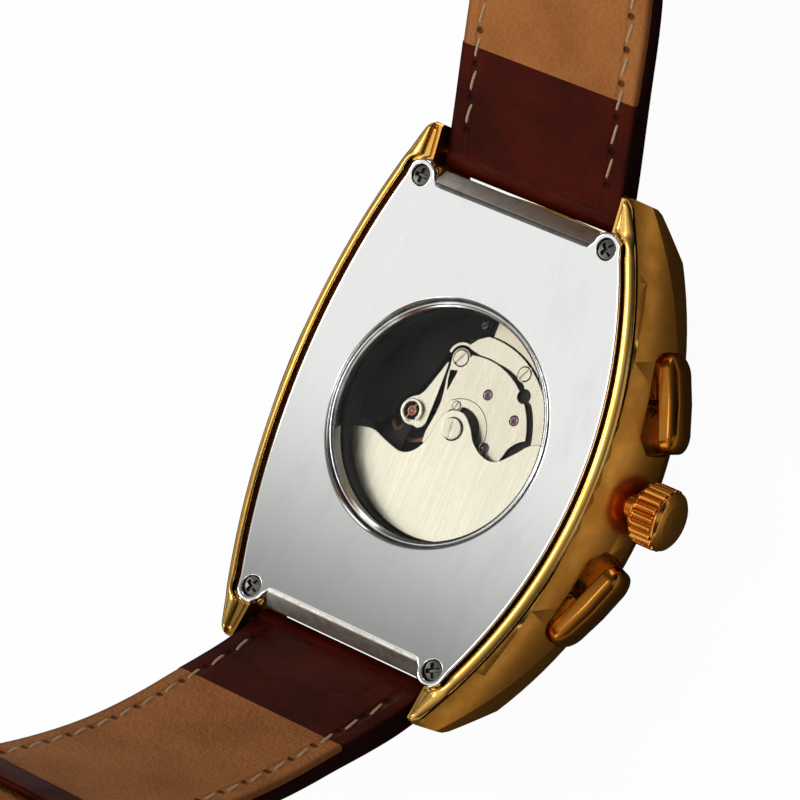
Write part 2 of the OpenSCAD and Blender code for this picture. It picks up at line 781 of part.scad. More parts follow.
module centre_wheel() color(BRASS) difference() {
    union() {
        translate([0, 0, centre_wheel_z])
            toothed_wheel(centre_teeth, share(third_d, centre_teeth, pinion_teeth), third_a, wheel_t, 0.7);
        translate([0, 0, train_z + 0.05]) linear_extrude(0.35)
            teeth(centre_leaves, share(barrel_d, centre_leaves, barrel_teeth), barrel_a);
        arbor([0, 0], minute_hand_z, centre_wheel_z + wheel_t, cannon_r);
        translate([0, 0, dial_back + 0.22]) linear_extrude(0.16)
            teeth(12, share(minute_d, 12, 36), minute_a);
    }
    arbor([0, 0], 0, case_t, tube_r);
}

module third_wheel() color(BRASS) {
    arbor(THIRD, plate_z + 0.05, pivot_top);
    translate([THIRD[0], THIRD[1], third_wheel_z])
        toothed_wheel(third_teeth, share(third_d, third_teeth, pinion_teeth), third_a + 180, wheel_t, 0.4);
    translate([THIRD[0], THIRD[1], centre_wheel_z - 0.08]) linear_extrude(0.3)
        teeth(pinion_teeth, share(third_d, pinion_teeth, centre_teeth), third_a + 180 + 180 / pinion_teeth);
}

module fourth_wheel() color(BRASS) {
    arbor([0, 0], seconds_hand_z, pivot_top);
    translate([0, 0, fourth_wheel_z])
        toothed_wheel(fourth_teeth, share(escape_d, fourth_teeth, pinion_teeth), escape_a, wheel_t, 0.4);
    translate([0, 0, third_wheel_z - 0.06]) linear_extrude(0.27)
        teeth(pinion_teeth, share(third_d, pinion_teeth, third_teeth), third_a + 180 / pinion_teeth);
}

escape_z = train_z + 0.55;
escape_r = 1.42;
escape_teeth = 20;

module escape_wheel() color(STEEL) {
    arbor(ESCAPE, plate_z + 0.05, pivot_top);
    translate([ESCAPE[0], ESCAPE[1], escape_z]) linear_extrude(wheel_t) difference() {
        polygon([for (i = [0:escape_teeth - 1], j = [0:1])
            let (a = (i + j * 0.35) * 360 / escape_teeth, r = escape_r - j * 0.35) [r * cos(a), r * sin(a)]]);
        crossings(0.95, 0.35, 4);
    }
    translate([ESCAPE[0], ESCAPE[1], fourth_wheel_z - 0.06]) linear_extrude(0.26)
        teeth(pinion_teeth, share(escape_d, pinion_teeth, fourth_teeth), escape_a + 180 + 180 / pinion_teeth);
}

pallet_z = escape_z - 0.02;
fork_l = 2.55;
fork_t = 0.2;
pallet_a = atan2(BALANCE[1] - PALLET[1], BALANCE[0] - PALLET[0]);
pallet_back_a = atan2(ESCAPE[1] - PALLET[1], ESCAPE[0] - PALLET[0]);

module pallet_fork() color(STEEL) {
    arbor(PALLET, plate_z + 0.05, pallet_z + 0.35);
    translate([PALLET[0], PALLET[1], pallet_z]) linear_extrude(fork_t) {
        rotate(pallet_a) difference() {
            polygon([[0, -0.25], [fork_l, -0.12], [fork_l + 0.3, -0.3], [fork_l + 0.3, 0.3], [fork_l, 0.12],
                [0, 0.25]]);
            translate([fork_l + 0.05, -0.14]) square([1, 0.28]);
        }
        rotate(pallet_back_a) both_ends()
            polygon([[-0.2, 0], [0.1, 0], [1.05, 1.4], [1.25, 1.4], [1.25, 1.7], [0.85, 1.7]]);
        circle(0.3);
    }
}

module pallet_bridge() color(MOVEMENT) difference() {
    union() {
        translate([0, 0, train_z + 0.9]) linear_extrude(0.14) translate(PALLET) rotate(pallet_a + 90)
            square([2.6, 0.8], center = true);
        for (s = [-1, 1]) translate([PALLET[0], PALLET[1], train_z]) rotate(pallet_a + 90)
            translate([s * 1.1, 0, 0]) cylinder(h = 0.95, r = 0.25);
    }
    translate([PALLET[0], PALLET[1], train_z]) cylinder(h = 2, r = arbor_r + pivot_gap);
}

balance_z = train_z + 1.6;

module balance_wheel() color(BRASS) {
    arbor(BALANCE, plate_z + 0.05, bridge_z - 0.3);
    translate([BALANCE[0], BALANCE[1], balance_z]) linear_extrude(0.22) difference() {
        circle(balance_r);
        crossings(balance_r - 0.35, 0.45, 3);
    }
    translate([BALANCE[0], BALANCE[1], pallet_z + 0.3]) cylinder(h = 0.12, r = 0.5);
    translate([BALANCE[0], BALANCE[1], 0]) rotate(pallet_a + 180) translate([0.4, 0, pallet_z + fork_t + fit])
        cylinder(h = 0.1, r = 0.07);
}

hairspring_in = 0.4;
hairspring_pitch = 0.32;
hairspring_wire = 0.08;

// An Archimedean spiral strip lying over the balance
function spring_point(i, off) = let (a = i * 10, r = hairspring_in + hairspring_pitch * a / 360 + off)
    [r * cos(a), r * sin(a)];

module hairspring() color("steelblue") translate([BALANCE[0], BALANCE[1], balance_z + 0.32]) {
    steps = 36 * hairspring_turns;
    linear_extrude(0.12) polygon(concat([for (i = [0:steps]) spring_point(i, 0)],
        [for (i = [steps:-1:0]) spring_point(i, hairspring_wire)]));
}

module hour_wheel() color(BRASS) difference() {
    union() {
        translate([0, 0, dial_back + 0.05]) linear_extrude(0.13)
            teeth(40, share(minute_d, 40, 10), minute_a + 180 / 40);
        arbor([0, 0], hour_hand_z, dial_back + 0.18, hour_tube_r);
    }
    arbor([0, 0], 0, case_t, cannon_r + fit);
}

module minute_wheel() color(BRASS) {
    arbor(MINUTE, dial_back + 0.02, train_z);
    translate([MINUTE[0], MINUTE[1], dial_back + 0.22]) linear_extrude(0.13)
        teeth(36, share(minute_d, 36, 12), minute_a + 180 + 180 / 36);
    translate([MINUTE[0], MINUTE[1], dial_back + 0.04]) linear_extrude(0.2)
        teeth(10, share(minute_d, 10, 40), minute_a + 180);
}

// Rotor, hanging round by rotor_angle about the middle of the movement

ROTOR_EDGE = [[10.9, -0.6], [8.6, -0.75], [7, -1.7], [5.2, -2.6], [3.7, -2.3], [2.5, -1.1], [1.9, 0.3],
    [1.1, 1.45]];
rotor_hub_r = 1.8;
weight_in = 8.5;

module rotor_shape() {
    difference() {
        union() {
            intersection() {
                circle(rotor_r);
                polygon(concat([[-12, -12], [12, -12]], ROTOR_EDGE,
                    [for (i = [len(ROTOR_EDGE) - 1:-1:0]) [-ROTOR_EDGE[i][0], ROTOR_EDGE[i][1]]]));
            }
            circle(rotor_hub_r);
        }
        circle(post_r + fit);
    }
}

module rotor_plate() color(MOVEMENT) translate([0, 0, rotor_plate_z]) rotate(rotor_angle)
    linear_extrude(rotor_plate_t) rotor_shape();

module rotor_weight() color(MOVEMENT) translate([0, 0, weight_z]) rotate(rotor_angle)
    linear_extrude(rotor_weight_t - rotor_plate_t) intersection() {
        difference() {
            circle(rotor_r - 0.05);
            circle(weight_in);
        }
        translate([-12, -12.8]) square([24, 12]);
    }

module rotor_screw() color(STEEL) translate([0, 0, rotor_top + 0.05]) rotate(-75)
    slotted(rotor_screw_r, 0.25);

// Crown, stem and pushers

dome_h = 0.6;
flute_r = 0.34;
neck_r = 2.1;
crown_in = wide_half_w + 0.1;
crown_x = crown_reach - dome_h - flute_l;
tube_out = crown_in + crown_travel + 0.3;
stem_grip = 2.6;

module along_x(x, z = 0) translate([x, 0, crown_z + z]) rotate([0, 90, 0]) children();

module crown() color(GOLD) {
    difference() {
        union() {
            along_x(crown_in) cylinder(h = crown_x - crown_in + 0.1, r = neck_r);
            along_x(crown_x) difference() {
                cylinder(h = flute_l, r = crown_r);
                for (i = [0:flute_count - 1]) rotate(i * 360 / flute_count) translate([crown_r + 0.08, 0, -1])
                    cylinder(h = flute_l + 0.7, r = flute_r, $fn = 24);
            }
            along_x(crown_x + flute_l) cylinder(h = 0.3, r1 = crown_r, r2 = crown_r - 0.3);
            along_x(crown_reach - dome_h - 0.01) intersection() {
                translate([0, 0, dome_h - 9]) sphere(9);
                cylinder(h = dome_h + 0.02, r = crown_r - 0.3);
            }
        }
        along_x(crown_in - 1) cylinder(h = tube_out - crown_in + 1.2, r = crown_tube_r + fit);
        along_x(crown_in) cylinder(h = stem_grip, r = stem_r);
    }
}

module winding_stem() color(STEEL) difference() {
    along_x(stem_in) cylinder(h = crown_in + stem_grip - stem_in, r = stem_r);
    along_x(lever_x - fit) difference() {
        cylinder(h = lever_t + 2 * fit, r = 1);
        cylinder(h = lever_t + 2 * fit, r = stem_r - 0.15);
    }
}

module crown_tube() color(GOLD) difference() {
    along_x(cavity_half_w - 1) cylinder(h = tube_out - cavity_half_w + 1, r = crown_tube_r);
    along_x(0) cylinder(h = big, r = stem_r + fit);
}

// The lever sits in the stem's groove and slides with it
module setting_lever() color(STEEL) difference() {
    along_x(lever_x) linear_extrude(lever_t) union() {
        circle(0.85);
        translate([-0.6, 0]) square([1.2, 1.9]);
    }
    along_x(0) cylinder(h = big, r = stem_r - 0.1);
}

module rounded_rect(l, h, r) {
    square([h - 2 * r, l], center = true);
    square([h, l - 2 * r], center = true);
    for (sx = [-1, 1], sy = [-1, 1]) translate([sx * (h / 2 - r), sy * (l / 2 - r)]) circle(r);
}

clip_t = 0.3;
clip_r = 0.85;
cap_dome_r = 9;
cap_long_r = 28;

// A clip behind the tube keeps the pusher in the case
module pusher(s) color(GOLD) pusher_frame(s) {
    intersection() {
        translate([0, 0, cap_gap]) linear_extrude(cap_t) rounded_rect(cap_l, cap_h, cap_round);
        translate([0, 0, cap_gap + cap_t - cap_dome_r]) rotate([90, 0, 0])
            cylinder(h = big, r = cap_dome_r, center = true, $fn = arc_fn);
        translate([0, 0, cap_gap + cap_t - cap_long_r]) rotate([0, 90, 0])
            cylinder(h = big, r = cap_long_r, center = true, $fn = arc_fn);
    }
    translate([0, 0, -pusher_tube_l - 1]) cylinder(h = pusher_tube_l + 1 + cap_gap, r = pusher_stem_r);
    translate([0, 0, -pusher_tube_l - fit - clip_t]) cylinder(h = clip_t, r = clip_r);
}

module pusher_two() pusher(-1);

module pusher_four() pusher(1);

module pusher_tubes() color(STEEL) for (s = [-1, 1]) pusher_frame(s)
    translate([0, 0, -pusher_tube_l]) difference() {
        cylinder(h = pusher_tube_l - pocket_in - 0.1, r = pusher_tube_r);
        cylinder(h = pusher_tube_l, r = pusher_stem_r + fit);
    }

// Straps

bar_end_l = 1;
bar_tip_r = 0.45;

module spring_bar(body_l, end_l) rotate([0, 90, 0]) {
    cylinder(h = body_l, r = bar_r, center = true);
    cylinder(h = body_l + 2 * end_l, r = bar_tip_r, center = true);
}

module spring_bars() color(STEEL) for (s = [-1, 1]) translate([0, s * bar_y, bar_z])
    spring_bar(lug_gap - 0.4, bar_end_l + 0.2);

function walk(s, y, z, a, runs, i = 0) = let (l = runs[i][0], r = runs[i][1],
    d = i == len(runs) - 1 ? s : min(s, l), turn = r == 0 ? 0 : d / r * 180 / PI,
    y2 = r == 0 ? y + d * cos(a) : y + r * (sin(a + turn) - sin(a)),
    z2 = r == 0 ? z + d * sin(a) : z + r * (cos(a) - cos(a + turn)))
    s <= l || i == len(runs) - 1 ? [y2, z2, a + turn] : walk(s - l, y2, z2, a + turn, runs, i + 1);

function six_at(s) = walk(s, bar_y, bar_z, six_angle, SIX_RUNS);

function twelve_at(s) = walk(s, bar_y, bar_z, twelve_angle, TWELVE_RUNS);

// Thickness falls from the root over the first stretch
taper_from = 3;
taper_to = 24;

function thick(s) = strap_root_t - (strap_root_t - strap_t)
    * min(1, max(0, (s - taper_from) / (taper_to - taper_from)));

// The six o'clock strap ends in a rounded point
function tip_w(s, l) = s < l - tip_l ? 1 : sqrt(max(0.04, 1 - pow((s - l + tip_l) / tip_l, 2)));

narrow_to = 70;

function half_w(s, l, tip) = (strap_w + (strap_end_w - strap_w) * min(1, s / narrow_to)) / 2
    * (tip ? tip_w(s, l) : 1);

edge_r = 0.45;

// A section of eight points from n1 to n2 across the strap's thickness
function section(p, w, n1, n2) = let (e = min(edge_r, (n2 - n1) / 2.5),
    q = [[-w + e, n1], [w - e, n1], [w, n1 + e], [w, n2 - e], [w - e, n2], [e - w, n2], [-w, n2 - e],
        [-w, n1 + e]])
    [for (c = q) [c[0], p[0] - c[1] * sin(p[2]), p[1] + c[1] * cos(p[2])]];

module sweep(rings) {
    n = len(rings);
    k = len(rings[0]);
    points = [for (ring = rings, p = ring) p];
    polyhedron(points, concat([[for (j = [k - 1:-1:0]) j]], [[for (j = [0:k - 1]) (n - 1) * k + j]],
        [for (i = [0:n - 2], j = [0:k - 1]) [i * k + j, i * k + (j + 1) % k, (i + 1) * k + j]],
        [for (i = [0:n - 2], j = [0:k - 1])
            [i * k + (j + 1) % k, (i + 1) * k + (j + 1) % k, (i + 1) * k + j]]), convexity = 6);
}

function stations(a, b, fine) = concat([for (s = [a:strap_step:b - fine - 0.5]) s],
    fine > 0 ? [for (i = [0:6]) b - fine * pow(1 - i / 6, 1.6)] : [b]);

// Leather is the outer part, and under the turnover it is the whole thickness
module leather_run(six, a, b, full) {
    l = six ? six_l : twelve_l;
    sweep([for (s = stations(a, b, six && !full ? tip_l : 0))
        let (p = six ? six_at(s) : twelve_at(s), t = thick(s))
        section(p, half_w(s, l, six), -t / 2, full ? t / 2 : t / 2 - lining_t - fit)]);
}

module lining_run(six, a, b) {
    l = six ? six_l : twelve_l;
    sweep([for (s = stations(a, b, six ? tip_l : 0)) let (p = six ? six_at(s) : twelve_at(s), t = thick(s))
        section(p, half_w(s, l, six) - 0.15, t / 2 - lining_t, t / 2)]);
}

first_hole = 30;

module strap_holes() for (i = [0:hole_count - 1]) let (p = six_at(six_l - first_hole - i * hole_pitch))
    translate([0, p[0], p[1]]) rotate([p[2], 0, 0]) cylinder(h = 8, r = hole_r, center = true, $fn = 32);

module across_bar(l, r) translate([0, bar_y, bar_z]) rotate([0, 90, 0]) cylinder(h = l, r = r, center = true);

module bar_hole() across_bar(big, bar_r + fit);

module strap_loop() across_bar(strap_w, loop_r);

module strap_six() color(LEATHER) difference() {
    union() {
        strap_loop();
        leather_run(true, 0, lining_start, true);
        leather_run(true, lining_start, six_l, false);
    }
    bar_hole();
    strap_holes();
}

module lining_six() color(LINING) difference() {
    lining_run(true, lining_start, six_l - 0.4);
    strap_holes();
}

end_loop_r = 1.7;
buckle_pin_r = 0.7;
tongue_slot_w = 3;
tongue_slot_l = 4;
twelve_end = twelve_at(twelve_l);

// Buckle frame: local x across, y out of the strap's end, z towards the wrist
module at_buckle() mirror([0, 1, 0]) translate([0, twelve_end[0], twelve_end[1]])
    rotate([twelve_end[2], 0, 0]) children();

module tongue_slot() at_buckle() translate([-tongue_slot_w / 2, -tongue_slot_l, -4])
    cube([tongue_slot_w, 8, 8]);

module strap_twelve() color(LEATHER) difference() {
    union() {
        mirror([0, 1, 0]) {
            strap_loop();
            leather_run(false, 0, lining_start, true);
            leather_run(false, lining_start, twelve_l, false);
        }
        at_buckle() rotate([0, 90, 0]) cylinder(h = strap_end_w - 0.4, r = end_loop_r, center = true);
    }
    mirror([0, 1, 0]) bar_hole();
    at_buckle() rotate([0, 90, 0]) cylinder(h = big, r = buckle_pin_r + fit, center = true);
    tongue_slot();
}

module lining_twelve() color(LINING) difference() {
    mirror([0, 1, 0]) lining_run(false, lining_start, twelve_l - end_loop_r - 0.1);
    tongue_slot();
}

// Keepers wrap the strap with room for the other one on its outer side
module keeper(s) {
    p = twelve_at(s);
    w = half_w(s, twelve_l, false) + soft_gap;
    low = strap_t / 2 + keeper_room;
    high = strap_t / 2 + soft_gap;
    mirror([0, 1, 0]) translate([0, p[0], p[1]]) rotate([p[2], 0, 0]) rotate([90, 0, 0])
        linear_extrude(keeper_w, center = true) difference() {
            translate([0, (high - low) / 2])
                rounded_rect(low + high + 2 * keeper_t, 2 * (w + keeper_t), keeper_t);
            translate([-w, -low]) square([2 * w, low + high]);
        }
}

module fixed_keeper() color(LEATHER) keeper(twelve_l - fixed_keeper_end);

module free_keeper() color(LEATHER) keeper(free_keeper_s);

module buckle_frame() color(GOLD) at_buckle() difference() {
    translate([0, buckle_l / 2 - 0.6, 0]) linear_extrude(buckle_t, center = true) difference() {
        rounded_rect(buckle_l + 1.2, buckle_w + 2 * buckle_rail, 1.6);
        translate([-buckle_w / 2, -buckle_l / 2 - 5]) square([buckle_w, buckle_l + 5 - buckle_rail]);
    }
    rotate([0, 90, 0]) cylinder(h = big, r = buckle_pin_r, center = true);
}

module buckle_bar() color(STEEL) at_buckle() rotate([0, 90, 0])
    cylinder(h = buckle_w + 2 * buckle_rail - 0.2, r = buckle_pin_r, center = true);

tongue_r = 1.35;

module buckle_tongue() color(GOLD) at_buckle() difference() {
    rotate([90, 0, 90]) linear_extrude(1.8, center = true) union() {
        circle(tongue_r);
        polygon([[0, -tongue_r], [buckle_l - 0.5, -buckle_t / 2 - 0.9], [buckle_l + 0.5, -buckle_t / 2 - 0.7],
            [buckle_l + 0.5, -buckle_t / 2 - 0.05], [buckle_l - 2.2, -buckle_t / 2 - 0.05], [0, 0.4]]);
    }
    rotate([0, 90, 0]) cylinder(h = big, r = buckle_pin_r + fit, center = true);
}

case_middle();
bezel();
crystal();
crystal_gasket();
inner_flange();
dial();
hour_markers();
day_hand();
date_hand();
day_night_hand();
hour_hand();
minute_hand();
seconds_hand();
back_plate();
window_ring();
window_glass();
back_gasket();
back_screws();
movement_ring();
movement_cover();
main_plate();
barrel();
centre_wheel();
third_wheel();
fourth_wheel();
escape_wheel();
pallet_fork();
pallet_bridge();
balance_wheel();
hairspring();
balance_cock();
train_bridge();
top_bridge();
ring_bridge();
jewels();
bridge_screws();
hour_wheel();
minute_wheel();
ratchet_wheel();
rotor_plate();
rotor_weight();
rotor_screw();
crown();
winding_stem();
crown_tube();
setting_lever();
pusher_two();
pusher_four();
pusher_tubes();
spring_bars();
strap_six();
lining_six();
strap_twelve();
lining_twelve();
fixed_keeper();
free_keeper();
buckle_frame();
buckle_tongue();
buckle_bar();
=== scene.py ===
"""Looks of the tonneau wristwatch: finishes, rounded edges, straps with stitches, and the studio."""

import json
import math

import bmesh
import bpy
import numpy as np
from mathutils import Matrix, Vector
from mathutils.geometry import delaunay_2d_cdt

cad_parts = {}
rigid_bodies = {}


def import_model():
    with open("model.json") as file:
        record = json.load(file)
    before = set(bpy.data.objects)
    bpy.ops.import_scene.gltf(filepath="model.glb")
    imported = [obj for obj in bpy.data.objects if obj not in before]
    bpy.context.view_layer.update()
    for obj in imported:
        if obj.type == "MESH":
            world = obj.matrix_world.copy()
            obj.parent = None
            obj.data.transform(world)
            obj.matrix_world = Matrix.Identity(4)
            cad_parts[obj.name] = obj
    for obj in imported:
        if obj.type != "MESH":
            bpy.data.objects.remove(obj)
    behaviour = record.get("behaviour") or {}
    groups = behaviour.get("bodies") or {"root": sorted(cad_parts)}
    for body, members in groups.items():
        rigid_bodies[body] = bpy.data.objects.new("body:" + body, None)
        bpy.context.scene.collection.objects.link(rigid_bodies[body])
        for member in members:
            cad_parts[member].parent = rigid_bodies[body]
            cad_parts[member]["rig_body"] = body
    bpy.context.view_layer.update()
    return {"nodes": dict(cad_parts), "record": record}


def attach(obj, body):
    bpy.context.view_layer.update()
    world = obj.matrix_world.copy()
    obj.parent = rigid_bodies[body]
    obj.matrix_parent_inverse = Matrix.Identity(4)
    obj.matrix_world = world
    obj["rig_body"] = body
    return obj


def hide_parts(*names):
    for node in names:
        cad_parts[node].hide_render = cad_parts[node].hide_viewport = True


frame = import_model()
MM = 0.001
SLOT = {s["node"]: s["material_slot"] for s in frame["record"]["subparts"]}

# Sizes of the watch in millimetres. The back is a circle arc along the watch: the height of its middle, and its radius
CURVE_Z, BACK_R = 121.0, 109.0
BACK_Z = CURVE_Z - BACK_R
# Half width and radius of the sides, seen from above: the plate's, the flank's at the top, and the widest
PLATE_W, PLATE_R, PLATE_L = 16.4, 55, 20.6
FLANK_W, FLANK_R, FLANK_SLOPE = 17.8, 65, 0.3108
WIDEST_W, WIDEST_R, WIDEST_Z = 20.1, 47, 4.6
# The plate's round ears and their screws
EAR_X, EAR_Y, EAR_R = 10.75, 20.9, 1.6
SCREWS = [(sx * EAR_X, sy * EAR_Y) for sx in (-1, 1) for sy in (-1, 1)]
# Straps, as lengths along them from the spring bar
BAR_Y, BAR_Z = 24.0, 11.1
STRAP_W, STRAP_END_W, NARROW_TO = 20.0, 17.6, 70.0
ROOT_T, STRAP_T, LINING_T, LINING_START = 2.7, 2.1, 0.7, 11.5
SIX_L, TWELVE_L, TIP_L = 118.0, 75.0, 9.0
STITCH_PITCH, STITCH_IN = 3.3, 2.0
# Crown, and the pushers' caps
CROWN_X, CROWN_Z = 20.2, 6.2
PUSHER_Y, CAP_L, CAP_H, CAP_CORNER, CAP_GAP, CAP_T = 9.5, 9.2, 4.0, 1.5, 0.9, 2.2
# Dial
DIAL_Z, SMALL_DIALS = 3.9, ((-7, 0), (7, 0), (0, 8.6))


# Shader maths

class Field:
    """A value in a node tree, which takes the usual operators."""

    def __init__(self, owner, socket):
        self.owner, self.socket = owner, socket

    def _math(self, operation, *terms):
        return self.owner.node("Math", {"operation": operation}, dict(enumerate(terms)))

    def __add__(self, v): return self._math("ADD", self, v)
    def __radd__(self, v): return self._math("ADD", v, self)
    def __sub__(self, v): return self._math("SUBTRACT", self, v)
    def __rsub__(self, v): return self._math("SUBTRACT", v, self)
    def __mul__(self, v): return self._math("MULTIPLY", self, v)
    def __rmul__(self, v): return self._math("MULTIPLY", v, self)
    def larger(self, v): return self._math("MAXIMUM", self, v)
    def abs(self): return self._math("ABSOLUTE", self)
    def root(self): return self._math("SQRT", self)
    def wave(self): return self._math("SINE", self)
    def remainder(self, v): return self._math("FLOORED_MODULO", self, v)

    def between(self, low, high, to_low=0.0, to_high=1.0):
        """The value carried from one range to another, held at its ends."""
        return self.owner.node("MapRange", {"clamp": True, "interpolation_type": "SMOOTHSTEP"},
                               {0: self, 1: low, 2: high, 3: to_low, 4: to_high})


class Nodes:
    """A node tree that is filled through one method."""

    def __init__(self, tree):
        self.tree = tree

    def node(self, kind, settings=None, inputs=None, out=0):
        """Adds a node of a kind with its settings and its inputs' values or links, and gives one output."""
        n = self.tree.nodes.new("ShaderNode" + kind)
        for key, value in (settings or {}).items():
            setattr(n, key, value)
        for key, value in (inputs or {}).items():
            if isinstance(value, Field):
                self.tree.links.new(value.socket, n.inputs[key])
            else:
                n.inputs[key].default_value = value
        return Field(self, n.outputs[out])

    def axis(self, place, name):
        return self.node("SeparateXYZ", {}, {0: place}, name)


class Paint(Nodes):
    """A procedural finish, made of nodes round one Principled shader."""

    def __init__(self, name, colour, roughness=0.4, metallic=0.0, **fixed):
        self.material = bpy.data.materials.new(name)
        self.material.use_nodes = True
        super().__init__(self.material.node_tree)
        self.shader = self.tree.nodes["Principled BSDF"]
        self.shader.inputs["Base Color"].default_value = (*colour, 1)
        self.shader.inputs["Roughness"].default_value = roughness
        self.shader.inputs["Metallic"].default_value = metallic
        for key, value in fixed.items():
            self.shader.inputs[key.replace("_", " ")].default_value = value
        self.material.diffuse_color = (*colour, 1)
        self.bumps = None

    def place(self, scale=(1, 1, 1), turn=(0, 0, 0), uv=False):
        """The point on the piece in millimetres, or its across and along lengths from the UV map."""
        where = self.node("UVMap") if uv else self.node("TexCoord", out="Object")
        k = 100 if uv else 1000
        return self.node("Mapping", {}, {0: where, 2: turn, 3: tuple(k * s for s in scale)})

    def noise(self, place, scale, detail=3.0, rough=0.55, out=0):
        """Soft clouds, so many to the place's unit."""
        inputs = {"Vector": place, "Scale": scale, "Detail": detail, "Roughness": rough}
        return self.node("TexNoise", {}, inputs, out)

    def cells(self, place, scale, feature):
        """Cells of uneven size, by distance to their middles or edges."""
        return self.node("TexVoronoi", {"feature": feature}, {"Vector": place, "Scale": scale})

    def attribute(self, name):
        return self.node("Attribute", {"attribute_name": name}, {}, "Fac")

    def blend(self, mask, a, b):
        """Colour a where the mask is 0 and colour b where it is 1."""
        a, b = [v if isinstance(v, Field) else (*v, 1) for v in (a, b)]
        return self.node("Mix", {"data_type": "RGBA"}, {0: mask, 6: a, 7: b}, 2)

    def colour(self, field):
        self.tree.links.new(field.socket, self.shader.inputs["Base Color"])

    def rough(self, field):
        self.tree.links.new(field.socket, self.shader.inputs["Roughness"])

    def bump(self, height, depth):
        """Adds relief of that depth in millimetres where the height is 1."""
        inputs = {"Height": height, "Distance": depth * MM, "Strength": 1.0}
        if self.bumps:
            inputs["Normal"] = self.bumps
        self.bumps = self.node("Bump", {}, inputs)
        self.tree.links.new(self.bumps.socket, self.shader.inputs["Normal"])

    def surface(self, mask, a, b):
        """Shows shader a where the mask is 0 and shader b where it is 1."""
        mix = self.node("MixShader", {}, {0: mask, 1: a, 2: b})
        out = next(n for n in self.tree.nodes if n.type == "OUTPUT_MATERIAL")
        self.tree.links.new(mix.socket, out.inputs["Surface"])


# Finishes

def polished_gold(name, colour, rough, worn=None, spread=0.10):
    """Gold plating: fine polishing marks, faint smears and slightly redder worn places."""
    p = Paint(name, colour, rough, 1.0, Specular_Tint=(1.0, 0.93, 0.72, 1))
    at = p.place()
    smear = p.noise(at, 0.32, 3, 0.6)
    marks = p.noise(p.place((0.5, 6, 6)), 1.4, 2)
    worn = worn or tuple(c * k for c, k in zip(colour, (1.06, 0.9, 0.7)))
    p.colour(p.blend(smear.between(0.35, 0.7), colour, worn))
    p.rough(smear.between(0.3, 0.75, rough - 0.03, rough - 0.03 + spread) + marks * 0.04)
    p.bump(p.noise(at, 2.2, 2), 0.0022)
    return p.material


def mirror_steel():
    """The back plate: a near mirror with a trace of waviness, hairlines and a few dull smears."""
    p = Paint("mirror_steel", (0.80, 0.80, 0.79), 0.07, 1.0)
    at = p.place()
    smear = p.noise(p.place((0.6, 0.25, 0.5), (0, 0, 0.4)), 0.5, 4, 0.6)
    lines = p.noise(p.place((9, 0.35, 1), (0, 0, 0.3)), 1.0, 2)
    p.colour(p.blend(smear.between(0.45, 0.8), (0.81, 0.81, 0.80), (0.73, 0.73, 0.725)))
    p.rough(smear.between(0.4, 0.75, 0.06, 0.15) + lines.between(0.62, 0.75) * 0.05)
    p.bump(p.noise(at, 0.1, 1), 0.012)
    p.bump(lines, 0.0006)
    return p.material


def plain_steel(name, colour=(0.58, 0.58, 0.57), rough=0.24):
    """Turned or milled steel with a fine grain and darker handling marks."""
    p = Paint(name, colour, rough, 1.0)
    grain = p.noise(p.place((14, 2, 14)), 1.0, 2)
    dirt = p.noise(p.place(), 0.9, 4, 0.65)
    p.colour(p.blend(dirt.between(0.4, 0.75), colour, tuple(c * 0.66 for c in colour)))
    p.rough(dirt.between(0.3, 0.7, rough - 0.06, rough + 0.12) + grain * 0.05)
    p.bump(grain, 0.002)
    return p.material


def brushed_nickel(name, colour, lean, rough, metal=1.0):
    """Movement plates: fine straight brushing, warm pale nickel and faint tarnish."""
    p = Paint(name, colour, rough, metal)
    brush = p.noise(p.place((11, 0.16, 1), (0, 0, lean)), 1.5, 3, 0.7)
    broad = p.noise(p.place((1.8, 0.06, 1), (0, 0, lean)), 1.0, 2)
    tarnish = p.noise(p.place(), 0.22, 3)
    dark, light = (tuple(min(1, c * k) for c in colour) for k in (0.92, 1.04))
    p.colour(p.blend(brush.between(0.3, 0.72), dark, light))
    p.rough(broad.between(0.3, 0.7, rough - 0.03, rough + 0.04) + tarnish * 0.04)
    p.bump(brush, 0.0012)
    return p.material


def grained(name, colour, rough, metal, grain, tint, gloss, relief=0.0, stretch=(1, 1, 1), lean=0.0, **fixed):
    """A finish of one grain (size, detail): a range with two colours, a range with two roughnesses, and relief."""
    p = Paint(name, colour, rough, metal, **fixed)
    field = p.noise(p.place(stretch, (0, 0, lean)), *grain)
    p.colour(p.blend(field.between(*tint[:2]), *tint[2:]))
    p.rough(field.between(*gloss))
    if relief:
        p.bump(field, relief)
    return p.material


def dial_silver():
    """Dial: silver lacquer over a woven stamping, calm in the middle of each small dial."""
    p = Paint("dial_silver", (0.74, 0.735, 0.71), 0.38, 0.35, Coat_Weight=0.4, Coat_Roughness=0.08)
    at = p.place()
    x, y = p.axis(at, "X"), p.axis(at, "Y")
    weave = ((x * 4.2).wave() * (y * 4.2).wave()).between(-0.6, 0.6)
    calm = None
    for cx, cy in SMALL_DIALS:
        r = ((x - cx) * (x - cx) + (y - cy) * (y - cy)).root()
        ring = r.between(3.0, 3.2)
        calm = calm * ring if calm else ring
    speck = p.noise(at, 3.0, 2)
    p.colour(p.blend(calm * weave, (0.78, 0.775, 0.75), (0.60, 0.59, 0.56)))
    p.rough(speck.between(0.3, 0.7, 0.32, 0.44))
    p.bump(weave * calm, 0.05)
    return p.material


